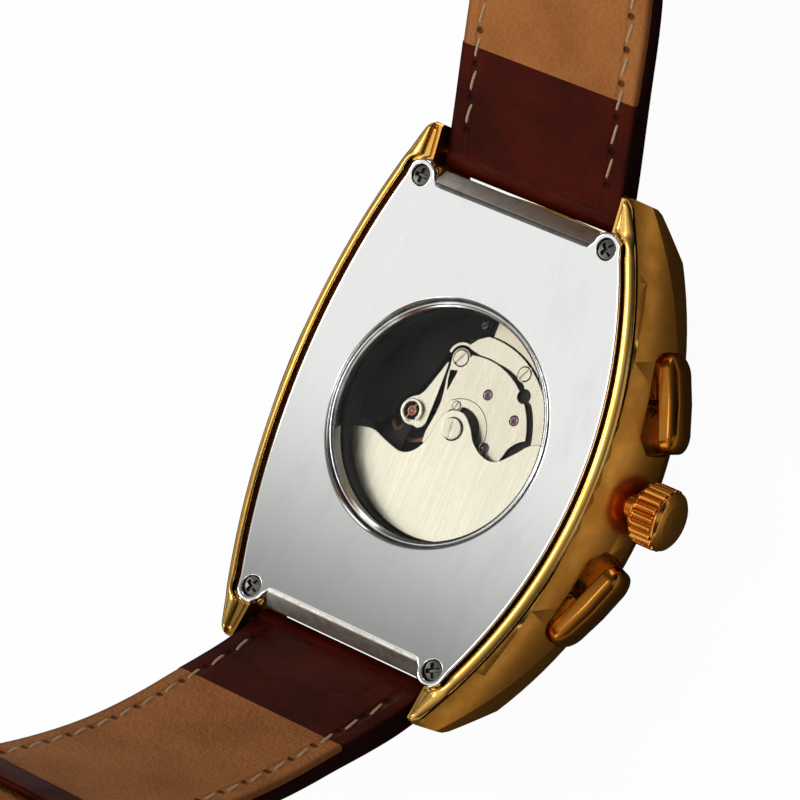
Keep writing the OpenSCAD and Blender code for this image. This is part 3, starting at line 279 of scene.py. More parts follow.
def clear_sapphire(name, tint=(0.99, 0.985, 0.97)):
    """Sapphire: see-through, with a glossy face that grows stronger towards grazing."""
    p = Paint(name, tint, 0.02)
    clear = p.node("BsdfTransparent", {}, {"Color": (*tint, 1)})
    gloss = p.node("BsdfGlossy", {}, {"Color": (1, 1, 1, 1), "Roughness": 0.02})
    veil = p.noise(p.place(), 0.2, 2)
    edge = p.node("Fresnel", {}, {"IOR": 1.6}) * veil.between(0.2, 0.8, 0.07, 0.14)
    p.surface(edge, clear, gloss)
    return p.material


def soft_black(name, colour=(0.014, 0.013, 0.012), rough=0.5):
    """Nearly black and softly grained: rubber, the moulded holder, and the painted shade in gaps and wells."""
    return grained(name, colour, rough, 0.0, (5, 3), (0.3, 0.7, colour, tuple(c * 2.2 for c in colour)),
                   (0.3, 0.7, rough - 0.1, rough + 0.1), 0.004, Specular_IOR_Level=0.12)


def needle_marks(from_edge, along):
    """A groove under the stitches, and a needle hole between one stitch and the next, whose dark colour in the callers
    is painted shade.
    """
    off = (from_edge - STITCH_IN).abs()
    step = STITCH_PITCH / 2 - (along.remainder(STITCH_PITCH) - STITCH_PITCH / 2).abs()
    return off.between(0.15, 0.6, 1.0, 0.0), (off * off + step * step).root().between(0.12, 0.42, 1.0, 0.0)


def glossy_leather():
    """Strap leather: glossy dark oxblood hide, its large scales pressed nearly flat, with pores and dark edges."""
    p = Paint("leather", (0.050, 0.0042, 0.0015), 0.34, 0.0, Specular_IOR_Level=0.10,
              Specular_Tint=(1.0, 0.42, 0.25, 1), Coat_Weight=0.02, Coat_Roughness=0.12)
    at, soft, slow, wide = [p.place((*k, 1), uv=True) for k in ((1, 1), (0.12, 0.12), (0.2, 0.1), (0.10, 0.17))]
    warp = p.noise(soft, 1.0, 3)
    wander = p.noise(slow, 1.0, 2, out=1)
    scales = p.node("VectorMath", {"operation": "MULTIPLY_ADD"}, {0: wander, 1: (1.1, 1.1, 0), 2: wide})
    crease = p.cells(scales, 1.0, "DISTANCE_TO_EDGE").between(0.0, 0.09, 1.0, 0.0)
    pores = p.noise(at, 2.6, 4, 0.65)
    from_edge = p.attribute("from_edge")
    groove, hole = needle_marks(from_edge, p.axis(at, "Y"))
    rubbed = pores.between(0.5, 0.8) * (1 - crease)
    base = p.blend(warp.between(0.35, 0.7), (0.064, 0.0046, 0.0012), (0.030, 0.0020, 0.0008))
    for mask, shade in ((rubbed * 0.35, (0.10, 0.013, 0.005)), (crease * 0.16, (0.014, 0.0018, 0.001)),
                        (from_edge.between(0.0, 0.7, 1.0, 0.0), (0.0070, 0.0008, 0.0007)),
                        # Needle holes: painted shade
                        (hole * 0.8, (0.004, 0.002, 0.001))):
        base = p.blend(mask, base, shade)
    p.colour(base)
    p.rough(pores.between(0.3, 0.7, 0.28, 0.42) + crease * 0.1 + from_edge.between(0.0, 0.6, 0.35, 0.0))
    for height, depth in ((1 - crease, 0.018), (pores, 0.012), (warp, 0.25), (1 - groove, 0.10), (1 - hole, 0.15)):
        p.bump(height, depth)
    return p.material


def tan_lining():
    """Strap lining: tan calf with a pebble grain, cross wrinkles, a darker handled edge and a stitch groove."""
    p = Paint("lining_leather", (0.36, 0.135, 0.042), 0.56, Specular_IOR_Level=0.12,
              Specular_Tint=(1.0, 0.55, 0.30, 1))
    at, cross, broad = [p.place((*k, 1), uv=True) for k in ((1, 1), (0.16, 0.9), (0.08, 0.08))]
    pebble = p.cells(at, 3.0, "SMOOTH_F1").between(0.0, 0.75)
    fine = p.noise(at, 3.6, 4, 0.6)
    wrinkle = p.noise(cross, 1.0, 3, 0.5)
    patch = p.noise(broad, 1.2, 3)
    from_edge = p.attribute("from_edge")
    groove, hole = needle_marks(from_edge, p.axis(at, "Y"))
    base = p.blend(patch.between(0.32, 0.7), (0.45, 0.172, 0.050), (0.335, 0.115, 0.030))
    for mask, shade in ((pebble.between(0.45, 1.0) * 0.16, (0.16, 0.050, 0.014)),
                        (fine.between(0.5, 0.75) * 0.18, (0.46, 0.19, 0.075)),
                        (from_edge.between(0.0, 0.9, 0.85, 0.0), (0.085, 0.022, 0.005)),
                        # Needle holes: painted shade
                        (hole * 0.85, (0.05, 0.014, 0.004))):
        base = p.blend(mask, base, shade)
    p.colour(base)
    p.rough(fine.between(0.3, 0.7, 0.44, 0.62))
    for height, depth in ((1 - pebble, 0.07), (wrinkle, 0.16), (fine, 0.02), (1 - groove, 0.14), (1 - hole, 0.3)):
        p.bump(height, depth)
    return p.material


def linen_thread():
    """Waxed beige thread with a twist."""
    p = Paint("thread", (0.42, 0.29, 0.17), 0.6)
    at = p.place((1, 1, 1), uv=True)
    twist = ((p.axis(at, "X") * 9 + p.axis(at, "Y") * 26).wave()).between(-1, 1)
    p.colour(p.blend(twist, (0.46, 0.30, 0.16), (0.66, 0.48, 0.30)))
    p.rough(twist.between(0, 1, 0.5, 0.7))
    p.bump(twist, 0.05)
    return p.material


GOLD = polished_gold("gold", (0.78, 0.48, 0.13), 0.12)
# Flank gold: the case gold made darker and redder for the side faces, which is painted shade; its greater roughness is
# the real satin finish
SHADED_FLANK_GOLD = polished_gold("flank_gold_painted_shade", (0.66, 0.285, 0.047), 0.27, (0.56, 0.225, 0.032), 0.08)
# Crown gold: the case gold made darker and redder, which is painted shade
SHADED_CROWN_GOLD = polished_gold("crown_gold_painted_shade", (0.68, 0.295, 0.050), 0.15)
# Cap gold: the case gold made much darker for the pushers' caps, which is painted shade
SHADED_CAP_GOLD = polished_gold("cap_gold_painted_shade", (0.33, 0.130, 0.018), 0.17)
# Near-black gold for the rim's grooves: painted shade
GROOVE_SHADE_GOLD = polished_gold("groove_painted_shade", (0.030, 0.010, 0.003), 0.45)
MIRROR = mirror_steel()
RIM_STEEL = plain_steel("ring_steel", (0.78, 0.78, 0.77), 0.10)
STEEL = plain_steel("steel")
# Dark steel: the real colour of the cover's small screw, and painted shade in the window ring's gap and beside the six
# o'clock end strip
DARK_STEEL_AND_SHADE = plain_steel("dark_steel_and_painted_shade", (0.10, 0.098, 0.092), 0.30)
SCREW_STEEL = plain_steel("screw_steel", (0.125, 0.12, 0.105), 0.30)
STRIP_STEEL = plain_steel("strip_steel", (0.70, 0.68, 0.60), 0.42)
NICKEL = brushed_nickel("movement_metal", (0.80, 0.765, 0.64), 0.05, 0.24)
SCREW_NICKEL = brushed_nickel("screw_nickel", (0.78, 0.75, 0.64), 0.9, 0.22)
MARGIN_NICKEL = brushed_nickel("margin_nickel", (0.70, 0.655, 0.51), 0.7, 0.34)
ROTOR_NICKEL = brushed_nickel("rotor_nickel", (0.88, 0.855, 0.72), 0.03, 0.20)
# Main plate, train and pallet bridges under the visible bridges: nickel made near-black, which is painted shade
SHADED_UNDER_NICKEL = brushed_nickel("under_nickel_painted_shade", (0.016, 0.014, 0.012), 0.4, 0.6, 0.3)
BALANCE_COPPER = polished_gold("balance_copper", (0.16, 0.085, 0.055), 0.35)
COPPER = polished_gold("copper_ring", (0.55, 0.24, 0.13), 0.22)
BRASS = grained("wheel_brass", (0.72, 0.47, 0.17), 0.28, 1.0, (2.2, 3),
                (0.35, 0.7, (0.74, 0.49, 0.18), (0.60, 0.36, 0.12)), (0.3, 0.7, 0.22, 0.36), 0.003, (3, 3, 1))
BLUE = grained("blued_steel", (0.03, 0.07, 0.30), 0.22, 1.0, (0.5, 2),
               (0.35, 0.65, (0.025, 0.06, 0.28), (0.05, 0.04, 0.22)), (0.3, 0.7, 0.18, 0.3))
LACQUER = grained("black_lacquer", (0.008, 0.007, 0.006), 0.25, 0.0, (1.0, 3),
                  (0.35, 0.75, (0.0025, 0.0022, 0.0018), (0.009, 0.0078, 0.006)), (0.3, 0.7, 0.20, 0.36), 0.001,
                  (3.2, 0.12, 1), 0.12, Specular_IOR_Level=0.05)
RUBY = grained("ruby", (0.24, 0.09, 0.19), 0.08, 0.0, (2.6, 2), (0.3, 0.7, (0.28, 0.11, 0.22), (0.13, 0.03, 0.09)),
               (0.3, 0.7, 0.06, 0.12), Coat_Weight=1.0, Coat_Roughness=0.03, IOR=1.76)
INK = grained("dial_ink", (0.01, 0.01, 0.012), 0.35, 0.0, (8, 2),
              (0.4, 0.7, (0.009, 0.009, 0.011), (0.02, 0.02, 0.022)), (0.3, 0.7, 0.3, 0.45))
# Near-black for the walls of gaps and the floors of wells: painted shade
PAINTED_SHADE_BLACK = soft_black("painted_shade_black", (0.003, 0.003, 0.0025), 0.7)
RUBBER = soft_black("gasket_rubber")
HOLDER = soft_black("black_holder", (0.011, 0.010, 0.010), 0.36)
DIAL = dial_silver()
GLASS = clear_sapphire("sapphire")
LEATHER = glossy_leather()
LINING = tan_lining()
THREAD = linen_thread()
BY_SLOT = {"gold": GOLD, "polished_steel": MIRROR, "steel": STEEL, "movement_metal": NICKEL, "wheel_brass": BRASS,
           "blued_steel": BLUE, "dial_silver": DIAL, "sapphire": GLASS, "gasket_rubber": RUBBER,
           "black_holder": HOLDER, "ruby": RUBY, "leather": LEATHER, "lining_leather": LINING}
OWN_PAINT = {"main_plate": SHADED_UNDER_NICKEL, "train_bridge": SHADED_UNDER_NICKEL, "pallet_bridge": SHADED_UNDER_NICKEL,
             "balance_wheel": BALANCE_COPPER}
for name, node in frame["nodes"].items():
    node.data.materials.clear()
    node.data.materials.append(OWN_PAINT.get(name, BY_SLOT[SLOT[name]]))


# Making of pieces

def place_piece(piece, node, paint, body="case"):
    """Puts a finished piece on its node's body, in that node's stead; one without a node is put on the body it names.
    """
    bpy.context.scene.collection.objects.link(piece)
    piece.data.materials.clear()
    piece.data.materials.append(paint)
    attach(piece, frame["nodes"][node]["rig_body"] if node else body)
    if node:
        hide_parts(node)
    return piece


def values(items, name, width=1, kind=float):
    """One property of all the items, as an array with a row for each item where it has more than one number."""
    out = np.empty(len(items) * width, kind)
    items.foreach_get(name, out)
    return out.reshape(-1, width) if width > 1 else out


def unit(vectors):
    """Each row divided by its length."""
    return vectors / np.maximum(np.linalg.norm(vectors, axis=1), 1e-30)[:, None]


def rework(mesh, work):
    """Opens the mesh for editing and runs work on it."""
    bm = bmesh.new()
    bm.from_mesh(mesh)
    work(bm)
    bm.to_mesh(mesh)
    bm.free()


def new_mesh(name, points, faces):
    """A mesh from points in millimetres and faces."""
    mesh = bpy.data.meshes.new(name)
    mesh.from_pydata((points.reshape(-1, 3) * MM).tolist(), [], faces if isinstance(faces, list) else faces.tolist())
    return mesh


def smooth_object(name, mesh, sharp=None):
    """An object of the mesh, shaded smooth but for edges over the sharp angle."""
    mesh.polygons.foreach_set("use_smooth", np.ones(len(mesh.polygons), bool))
    if sharp:
        mesh.set_sharp_from_angle(angle=math.radians(sharp))
    return bpy.data.objects.new(name, mesh)


def close_seams(bm):
    """Joins points that meet, drops flat faces and turns all faces outwards."""
    bmesh.ops.remove_doubles(bm, verts=bm.verts, dist=1e-7)
    bmesh.ops.dissolve_degenerate(bm, edges=bm.edges, dist=1e-7)
    bmesh.ops.recalc_face_normals(bm, faces=bm.faces)


def worked_copy(name, node, edge, steps, paint, angle=28, shape=None, softer=()):
    """The node's own shape, with its sharp edges rounded; softer lists wider roundings and picks their edges."""
    mesh = frame["nodes"][node].data.copy()
    mesh.name = name
    if shape:
        shape(mesh)
    stages = [(reach, steps + 2, pick) for reach, pick in softer] + [(edge, steps, lambda middle: True)]

    def work(bm):
        bmesh.ops.remove_doubles(bm, verts=bm.verts, dist=2e-7)
        bmesh.ops.dissolve_limit(bm, angle_limit=math.radians(0.03), verts=bm.verts, edges=bm.edges)
        for reach, segments, pick in stages:
            sharp = [e for e in bm.edges if e.is_manifold and e.calc_face_angle() > math.radians(angle)
                     and pick((e.verts[0].co + e.verts[1].co) / 2 / MM)]
            bmesh.ops.bevel(bm, geom=sharp, offset=reach * MM, offset_type="OFFSET", segments=segments, profile=0.5,
                            affect="EDGES", clamp_overlap=True)

    rework(mesh, work)
    weigh_normals(mesh)
    return place_piece(bpy.data.objects.new(name, mesh), node, paint)


def weigh_normals(mesh, limit=42):
    """Each corner's normal: the sum of its vertex's face normals within the limit, each times its face's area."""
    polys, corners = len(mesh.polygons), len(mesh.loops)
    mesh.polygons.foreach_set("use_smooth", np.ones(polys, bool))
    vert = values(mesh.loops, "vertex_index", kind=np.int32)
    normal, area = values(mesh.polygons, "normal", 3), values(mesh.polygons, "area")
    face = np.repeat(np.arange(polys), values(mesh.polygons, "loop_total", kind=np.int32))
    order = np.argsort(vert, kind="stable")
    count = np.bincount(vert, minlength=len(mesh.vertices))
    first = np.cumsum(count) - count
    k = count[vert]
    own = np.repeat(np.arange(corners), k)
    other = order[np.repeat(first[vert], k) + np.arange(k.sum()) - np.repeat(np.cumsum(k) - k, k)]
    near = (normal[face[own]] * normal[face[other]]).sum(1) > math.cos(math.radians(limit))
    out = np.zeros((corners, 3))
    np.add.at(out, own, (near * area[face[other]])[:, None] * normal[face[other]])
    mesh.normals_split_custom_set(unit(out).tolist())


def grid_faces(n, m, wrap_n=False, wrap_m=False, start=0):
    """Quads over an n by m grid of points, closed round either way where asked."""
    i = np.arange(n if wrap_n else n - 1)[:, None]
    j = np.arange(m if wrap_m else m - 1)[None, :]
    i2, j2 = (i + 1) % n, (j + 1) % m
    quads = np.stack([i * m + j + 0 * j2, i * m + j2, i2 * m + j2, i2 * m + j + 0 * j2], -1)
    return quads.reshape(-1, 4) + start


def capped(grid):
    """The grid with its first and last rows drawn together to their middles."""
    ends = [np.repeat(grid[[i]].mean(1, keepdims=True), grid.shape[1], 1) for i in (0, -1)]
    return np.concatenate([ends[0], grid, ends[1]])


def grid_piece(name, parts, sharp):
    """One mesh out of grids of points: each part is (points, closed round first way, closed round second way, flip)."""
    points, faces, count = [], [], 0
    for grid, wrap_n, wrap_m, flip in parts:
        n, m = grid.shape[:2]
        quads = grid_faces(n, m, wrap_n, wrap_m, count)
        faces.append(quads[:, ::-1] if flip else quads)
        points.append(grid.reshape(-1, 3))
        count += n * m
    mesh = new_mesh(name, np.concatenate(points), np.concatenate(faces))
    rework(mesh, close_seams)
    return smooth_object(name, mesh, sharp)


def full_turn(count):
    """Even angles round a full turn."""
    return np.linspace(0, 2 * math.pi, count, endpoint=False)


def polar(centre, r, t, z=None):
    """Points at radius r and angle t round a centre, in the plane or at height z."""
    flat = [centre[0] + r * np.cos(t), centre[1] + r * np.sin(t)]
    return np.stack(flat if z is None else flat + [z + 0 * r * t], -1)


def lathe_piece(name, profiles, sharp):
    """One mesh out of profiles (radius, height) turned round upright axes: each is (profile, centre, steps)."""
    return grid_piece(name, [(lathe_grid(*profile), True, False, False) for profile in profiles], sharp)


def lathe_grid(profile, centre, steps):
    """Profile points (radius, height) carried round an upright axis: r cos t and r sin t from the centre."""
    r, h = np.asarray(profile, float).T[:, None, :]
    return polar(centre, r, full_turn(steps)[:, None], h)


def rounded_profile(points, radius, steps=4):
    """A chain of points with each inner corner cut by a quadratic curve that starts one radius before it."""
    p = np.asarray(points, float)
    out = [p[:1]]
    for before, corner, after in zip(p[:-2], p[1:-1], p[2:]):
        a, b = before - corner, after - corner
        la, lb = np.linalg.norm(a), np.linalg.norm(b)
        k = min(radius, la * 0.49, lb * 0.49)
        t = np.linspace(0, 1, steps + 1)[:, None]
        start, end = corner + a / la * k, corner + b / lb * k
        out.append((1 - t) ** 2 * start + 2 * t * (1 - t) * corner + t ** 2 * end)
    return np.concatenate(out + [p[-1:]])


def bow_z(y):
    """Height of the back: a circle arc along the watch."""
    return CURVE_Z - np.sqrt(BACK_R ** 2 - np.asarray(y, float) ** 2)


def side_x(w, r, y):
    """Half width of a side whose plan is a circle arc of radius r through half width w."""
    return w - (r - np.sqrt(r * r - np.asarray(y, float) ** 2))


# Case middle

def paint_shade(piece, paint, pick):
    """Gives a second paint, a painted shade, to the faces that pick chooses by their middles in millimetres and their
    normals.
    """
    faces = piece.data.polygons
    piece.data.materials.append(paint)
    chosen = pick(values(faces, "center", 3) / MM, values(faces, "normal", 3))
    faces.foreach_set("material_index", chosen.astype(np.int32))


def rim_in(y):
    """Inner edge of the rim: just outside the back plate, round its ears, and along the lug gap at the lugs."""
    y = np.abs(y)
    ear = EAR_X + np.sqrt(np.clip((EAR_R + 0.08) ** 2 - (y - EAR_Y) ** 2, 0, None))
    plate = side_x(PLATE_W, PLATE_R, y) + 0.07
    return np.where(y < EAR_Y, np.maximum(plate, np.where(y > 19.3, ear, 0)), np.maximum(ear, 10.52))


def rim_out(y):
    """Outer edge of the rim, where the flank's slope meets the back's curve."""
    return side_x(FLANK_W + FLANK_SLOPE * (BACK_Z - bow_z(y)), FLANK_R, y)


def let_down_rim(mesh):
    """Moves the rim's outer corner down along the flank, to make room for the bead."""
    co = values(mesh.vertices, "co", 3) / MM
    y = np.clip(co[:, 1], -26.2, 26.2)
    on_top = (np.abs(co[:, 2] - bow_z(y)) < 0.03) & (np.abs(co[:, 1]) < 26)
    corner = on_top & (np.abs(np.abs(co[:, 0]) - rim_out(y)) < 0.06)
    co[:, 2] -= 0.8 * on_top
    co[:, 0] += 0.24 * corner * np.sign(co[:, 0])
    mesh.vertices.foreach_set("co", (co * MM).ravel())


def middle_case():
    """The case middle: polished on the faces that look up, satin on the flanks, whose darker gold is painted shade,
    softly rounded lugs.
    """
    piece = worked_copy("middle_case", "case_middle", 0.12, 2, GOLD, 24, let_down_rim,
                        [(1.8, lambda m: abs(m.y) > 21.5 and abs(m.x) > 13 and m.z < 12.6),
                         (0.35, lambda m: abs(m.y) > 21.5 and m.z < 14.6)])
    # Faces that do not look up get the darker flank gold: painted shade
    paint_shade(piece, SHADED_FLANK_GOLD, lambda c, n: np.abs(n[:, 2]) < 0.62)
    swell_flank(piece.data)


def swell_flank(mesh):
    """Corner normals of the flank: out 1, along y / sqrt(r^2 - y^2), up its slope and a lean.

    The lean is 0 at a height of 6.5 mm, grows by 0.06 a millimetre above it and falls by 0.10 a millimetre below it.
    """
    own = np.repeat(values(mesh.polygons, "normal", 3), values(mesh.polygons, "loop_total", kind=np.int32), 0)
    shade = values(mesh.corner_normals, "vector", 3)
    vert = values(mesh.loops, "vertex_index", kind=np.int32)
    x, y, z = (values(mesh.vertices, "co", 3)[vert] / MM).T
    y = np.clip(y, -26, 26)
    lean = (z - 6.5) * np.where(z < 6.5, 0.10, 0.06)
    for r, slope in ((FLANK_R, FLANK_SLOPE), (WIDEST_R, 0.0)):
        along = y / np.sqrt(r * r - y * y)
        flat, swollen = [unit(np.stack([np.sign(x), along, slope + up], -1)) for up in (0 * x, lean)]
        on = (own * flat).sum(1) > 0.985
        shade[on] = swollen[on]
    mesh.normals_split_custom_set(shade.tolist())


def rim_beads():
    """Rounded band along each side of the back, drawn in at its ends: w is its height at each share f of its width."""
    end = 25.95 - 0.8 * np.linspace(1, 0, 14) ** 1.7
    y = np.concatenate([-end[::-1], np.linspace(-25.0, 25.0, 181), end])[:, None]
    f = np.array([0.0, 0.0, 0.005, 0.01, 0.27, 0.275, 0.285, 0.305, 0.34, 0.39, 0.44, 0.47, 0.56, 0.65, 0.74, 0.82,
                  0.89, 0.94, 0.97, 0.985, 1.0, 0.985, 0.93])[None, :]
    w = np.array([-0.9, -0.60, -0.56, -0.55, -0.55, -0.5, -0.16, -0.04, 0.03, 0.06, 0.06, 0.045, 0.01, -0.05, -0.14,
                  -0.25, -0.37, -0.47, -0.58, -0.70, -0.72, -0.82, -0.9])[None, :]
    tip = np.sqrt(np.clip(1 - (np.clip(np.abs(y) - 25.15, 0, None) / 0.81) ** 2, 0, 1))
    inner, outer = rim_in(y), rim_out(y) + 0.20
    middle = (inner + outer) / 2
    x = middle + (inner + (outer - inner) * f - middle) * (0.3 + 0.7 * tip)
    z = bow_z(y) + w - (1 - tip) * 0.9
    parts = [(capped(np.stack([side * x, y + 0 * x, z], -1)), False, True, False) for side in (-1, 1)]
    bead = place_piece(grid_piece("rim_beads", parts, 60), None, GOLD)

    # The grooves beside the plate and along the flank are painted near-black gold: painted shade
    def shaded_grooves(c, n):
        x, y = np.abs(c[:, 0]), np.clip(c[:, 1], -26, 26)
        low, at = bow_z(y) - c[:, 2], np.abs(y)
        inner = (x < rim_in(y) + 0.40) & (at < 22) & (low > 0.1)
        return inner | ((x > rim_out(y) - 0.06) & (at < 25.3) & (low > 0.44))

    paint_shade(bead, GROOVE_SHADE_GOLD, shaded_grooves)


# Case back

def plate_outline():
    """Outline of the plate: side arc, round ear, short step and straight end, for the four quarters."""
    y = np.linspace(-1, 1, 140) * 20.5
    side = np.stack([side_x(PLATE_W, PLATE_R, y), y], -1)
    step = math.pi - math.asin((EAR_Y - PLATE_L) / EAR_R)
    ear = polar((EAR_X, EAR_Y), EAR_R, np.linspace(math.radians(28), step, 30))
    edge = np.stack([np.linspace(ear[-1, 0], -ear[-1, 0], 40)[1:-1], np.full(38, PLATE_L)], -1)
    keep = side[(side[:, 0] - EAR_X) ** 2 + (np.abs(side[:, 1]) - EAR_Y) ** 2 > EAR_R ** 2 * 1.02]
    top = np.concatenate([ear, edge, ear[::-1] * (-1, 1)])
    return np.concatenate([keep, top, keep[::-1] * (-1, 1), top * (-1, -1)])


def inset(loop, d):
    """The loop moved inwards by d along its own normals (the loop runs counter-clockwise)."""
    t = unit(np.roll(loop, -1, 0) - np.roll(loop, 1, 0))
    return loop + d * np.stack([-t[:, 1], t[:, 0]], -1)


def turned(loop, way):
    """The loop, run counter-clockwise for 1 and clockwise for -1, told by twice its signed area."""
    ahead = np.roll(loop, -1, 0)
    area = (loop[:, 0] * ahead[:, 1] - ahead[:, 0] * loop[:, 1]).sum()
    return loop if area * way > 0 else loop[::-1]


def ring_points(centre, r, count):
    """A clockwise circle."""
    return polar(centre, r, -full_turn(count))


def fill_between(outer, holes, filler):
    """Triangles over the area inside the outer loop and outside the holes, through the filler points."""
    loops = [outer] + holes
    points = np.concatenate(loops + [filler])
    edges, n = [], 0
    for loop in loops:
        k = np.arange(len(loop))
        edges.append(np.stack([n + k, n + (k + 1) % len(loop)], -1))
        n += len(loop)
    out = delaunay_2d_cdt([Vector(q) for q in points.tolist()], np.concatenate(edges).tolist(), [], 0, 1e-6)
    verts, faces = np.array(out[0]), np.array([f for f in out[2] if len(f) == 3])
    return verts, faces[within(verts[faces].mean(1), loops)]


def within(points, loops):
    """Which points lie inside the first loop and outside the others."""
    keep = inside(points, loops[0])
    for hole in loops[1:]:
        keep &= ~inside(points, hole)
    return keep


def inside(points, loop):
    """Even-odd test: how often a ray to the right from each point crosses the loop."""
    a, b = loop[None], np.roll(loop, -1, 0)[None]
    x, y = points[:, 0:1], points[:, 1:2]
    crosses = (a[..., 1] > y) != (b[..., 1] > y)
    with np.errstate(divide="ignore", invalid="ignore"):
        at = (b[..., 0] - a[..., 0]) * (y - a[..., 1]) / (b[..., 1] - a[..., 1]) + a[..., 0]
    return (crosses & (x < at)).sum(1) % 2 == 1


def curved_plate(name, outer, holes, top_z, thick, edge, spacing=1.1, steps=4):
    """A sheet whose top follows top_z(x, y): each rim is a quarter circle of its own radius over a straight wall."""
    outer, holes = turned(outer, 1), [turned(h, -1) for h in holes]
    q = np.linspace(0, math.pi / 2, steps + 1)
    walls = []
    for loop, round_by in zip([outer] + holes, edge if isinstance(edge, list) else [edge] * (len(holes) + 1)):
        insets, drops = round_by * (1 - np.cos(q)), round_by * (1 - np.sin(q))
        rings = [(loop, thick)] + [(inset(loop, d), h) for d, h in zip([*insets, insets[-1] + 0.05], [*drops, 0])]
        walls.append(np.stack([np.column_stack([p, top_z(p[:, 0], p[:, 1]) - h]) for p, h in rings]))
    top_loops = [wall[-1][:, :2] for wall in walls]
    sides = [np.arange(low, high, spacing) for low, high in zip(outer.min(0), outer.max(0))]
    filler = np.stack(np.meshgrid(*sides), -1).reshape(-1, 2)
    filler = filler[within(filler, [inset(loop, 0.4) for loop in top_loops])]
    top, faces = fill_between(top_loops[0], top_loops[1:], filler)
    under, low_faces = fill_between(outer, holes, np.zeros((0, 2)))
    points = [np.column_stack([p, top_z(p[:, 0], p[:, 1]) - h]) for p, h in ((top, 0), (under, thick))]
    faces = faces.tolist() + (low_faces[:, ::-1] + len(top)).tolist()
    count = len(top) + len(under)
    for grid in walls:
        points.append(grid.reshape(-1, 3))
        faces += grid_faces(*grid.shape[:2], False, True, count).tolist()
        count += len(points[-1])
    mesh = new_mesh(name, np.concatenate(points), faces)
    rework(mesh, lambda bm: bmesh.ops.remove_doubles(bm, verts=bm.verts, dist=2e-6))
    return smooth_object(name, mesh, 40)


def back_plate():
    """Plate with its four ears, window and screw holes, and the two sloping end strips; the six o'clock one has a
    painted shade line next to the plate.
    """
    holes = [ring_points((0, 0), 11.8, 160)] + [ring_points(c, 1.03, 40) for c in SCREWS]
    plate = curved_plate("plate", plate_outline(), holes, lambda x, y: bow_z(y), 1.2, [0.30, 0.22] + [0.08] * 4)
    place_piece(plate, "back_plate", MIRROR)
    top, half = float(bow_z(PLATE_L)), 9.15
    x = np.concatenate([[-half, -half + 0.03], np.linspace(-half + 0.12, half - 0.12, 24), [half - 0.03, half]])
    pull = np.concatenate([[0.6, 0.94], np.ones(24), [0.94, 0.6]])[:, None]
    for s, label, ledge in ((1, "six", 20.80), (-1, "twelve", 20.75)):
        profile = rounded_profile([(20.3, top - 1.1), (20.3, top - 0.05), (ledge, top - 0.05), (22.2, top - 1.3),
                                   (22.2, top - 1.75), (20.3, top - 1.75)], 0.14, 4)
        y, z = [k.mean() + (k - k.mean()) * pull for k in profile.T]
        grid = capped(np.stack([x[:, None] + 0 * y, s * y, z], -1))
        strip = grid_piece("end_strip_" + label, [(grid, False, True, s > 0)], 40)
        place_piece(strip, None, STRIP_STEEL)
        # The ledge of the six o'clock strip next to the plate gets dark steel: a painted shade line
        if s > 0:
            paint_shade(strip, DARK_STEEL_AND_SHADE, lambda c, n: (c[:, 1] < ledge - 0.02) & (n[:, 2] > 0.8))


def corner_screws():
    """Heads of the four screws, over a polar grid: height = dome - depth * soft mask of the cross cut."""
    r = np.concatenate([[0.0], np.linspace(0.05, 0.88, 30), [0.92, 0.95, 0.97, 0.97]])[:, None]
    t = full_turn(144)[None, :]
    parts = []
    for k, centre in enumerate(SCREWS):
        a = t + 0.5 + 1.1 * k
        u, v = np.abs(r * np.cos(a)), np.abs(r * np.sin(a))
        arm, reach = np.minimum(u, v) / 0.15, np.maximum(u, v) / 0.68
        cut = np.clip(1.35 - arm, 0, 0.6) / 0.6 * np.clip((1.06 - reach) / 0.1, 0, 1)
        top = float(bow_z(centre[1])) - 0.16
        z = top - 0.10 * r ** 2 - 0.34 * cut
        z[-3], z[-2], z[-1] = top - 0.14, top - 0.2, top - 0.8
        parts.append((polar(centre, r, t, z), False, True, False))
    place_piece(grid_piece("corner_screws", parts, 50), "back_screws", SCREW_STEEL)


def window_ring():
    """Ring of the window, with painted shade in the gap outside, a bead, a fine step and a slope down to the glass."""
    top = 11.96
    profile = rounded_profile([(11.10, 10.65), (11.10, 11.66), (11.20, 11.74), (11.30, 11.80), (11.33, top - 0.08),
                               (11.40, top - 0.01), (11.46, top), (11.55, top - 0.03), (11.60, top - 0.14),
                               (11.63, top - 0.30), (11.70, top - 0.30), (11.79, top - 0.10), (11.79, 10.65),
                               (11.10, 10.65)], 0.03, 3)
    ring = place_piece(lathe_piece("ring", [(profile, (0, 0), 220)], 40), "window_ring", RIM_STEEL)
    # The walls and floor of the outer gap get dark steel: painted shade
    paint_shade(ring, DARK_STEEL_AND_SHADE, lambda c, n: (np.hypot(c[:, 0], c[:, 1]) > 11.60) & (c[:, 2] < top - 0.22))


# Crown and pushers

def crown():
    """Profile turned round the axis, whose radius dips between the ridges: r - depth (1 - |sin(n t / 2)|^0.8)."""
    profile = rounded_profile([(1.32, 0.0), (2.1, 0.0), (2.1, 0.62), (2.45, 0.70), (2.95, 0.72), (3.05, 0.95),
                               (3.05, 3.02), (2.96, 3.10), (2.72, 3.12), (2.70, 3.20), (2.90, 3.22), (2.84, 3.38),
                               (2.5, 3.66), (1.9, 3.90), (1.0, 4.06), (0.0, 4.10)], 0.12, 5)
    r, h = profile.T[:, None, :]
    t = full_turn(480)[:, None]
    fluted = np.clip((h - 0.78) / 0.2, 0, 1) * np.clip((3.2 - h) / 0.16, 0, 1)
    r = np.maximum(r - 0.42 * (1 - np.abs(np.sin(10 * t)) ** 0.8) * fluted, 0)
    grid = np.stack([CROWN_X + h + 0 * t, r * np.cos(t), CROWN_Z + r * np.sin(t)], -1)
    # The crown's darker gold is painted shade
    place_piece(grid_piece("crown_head", [(grid, True, False, False)], 50), "crown", SHADED_CROWN_GOLD)


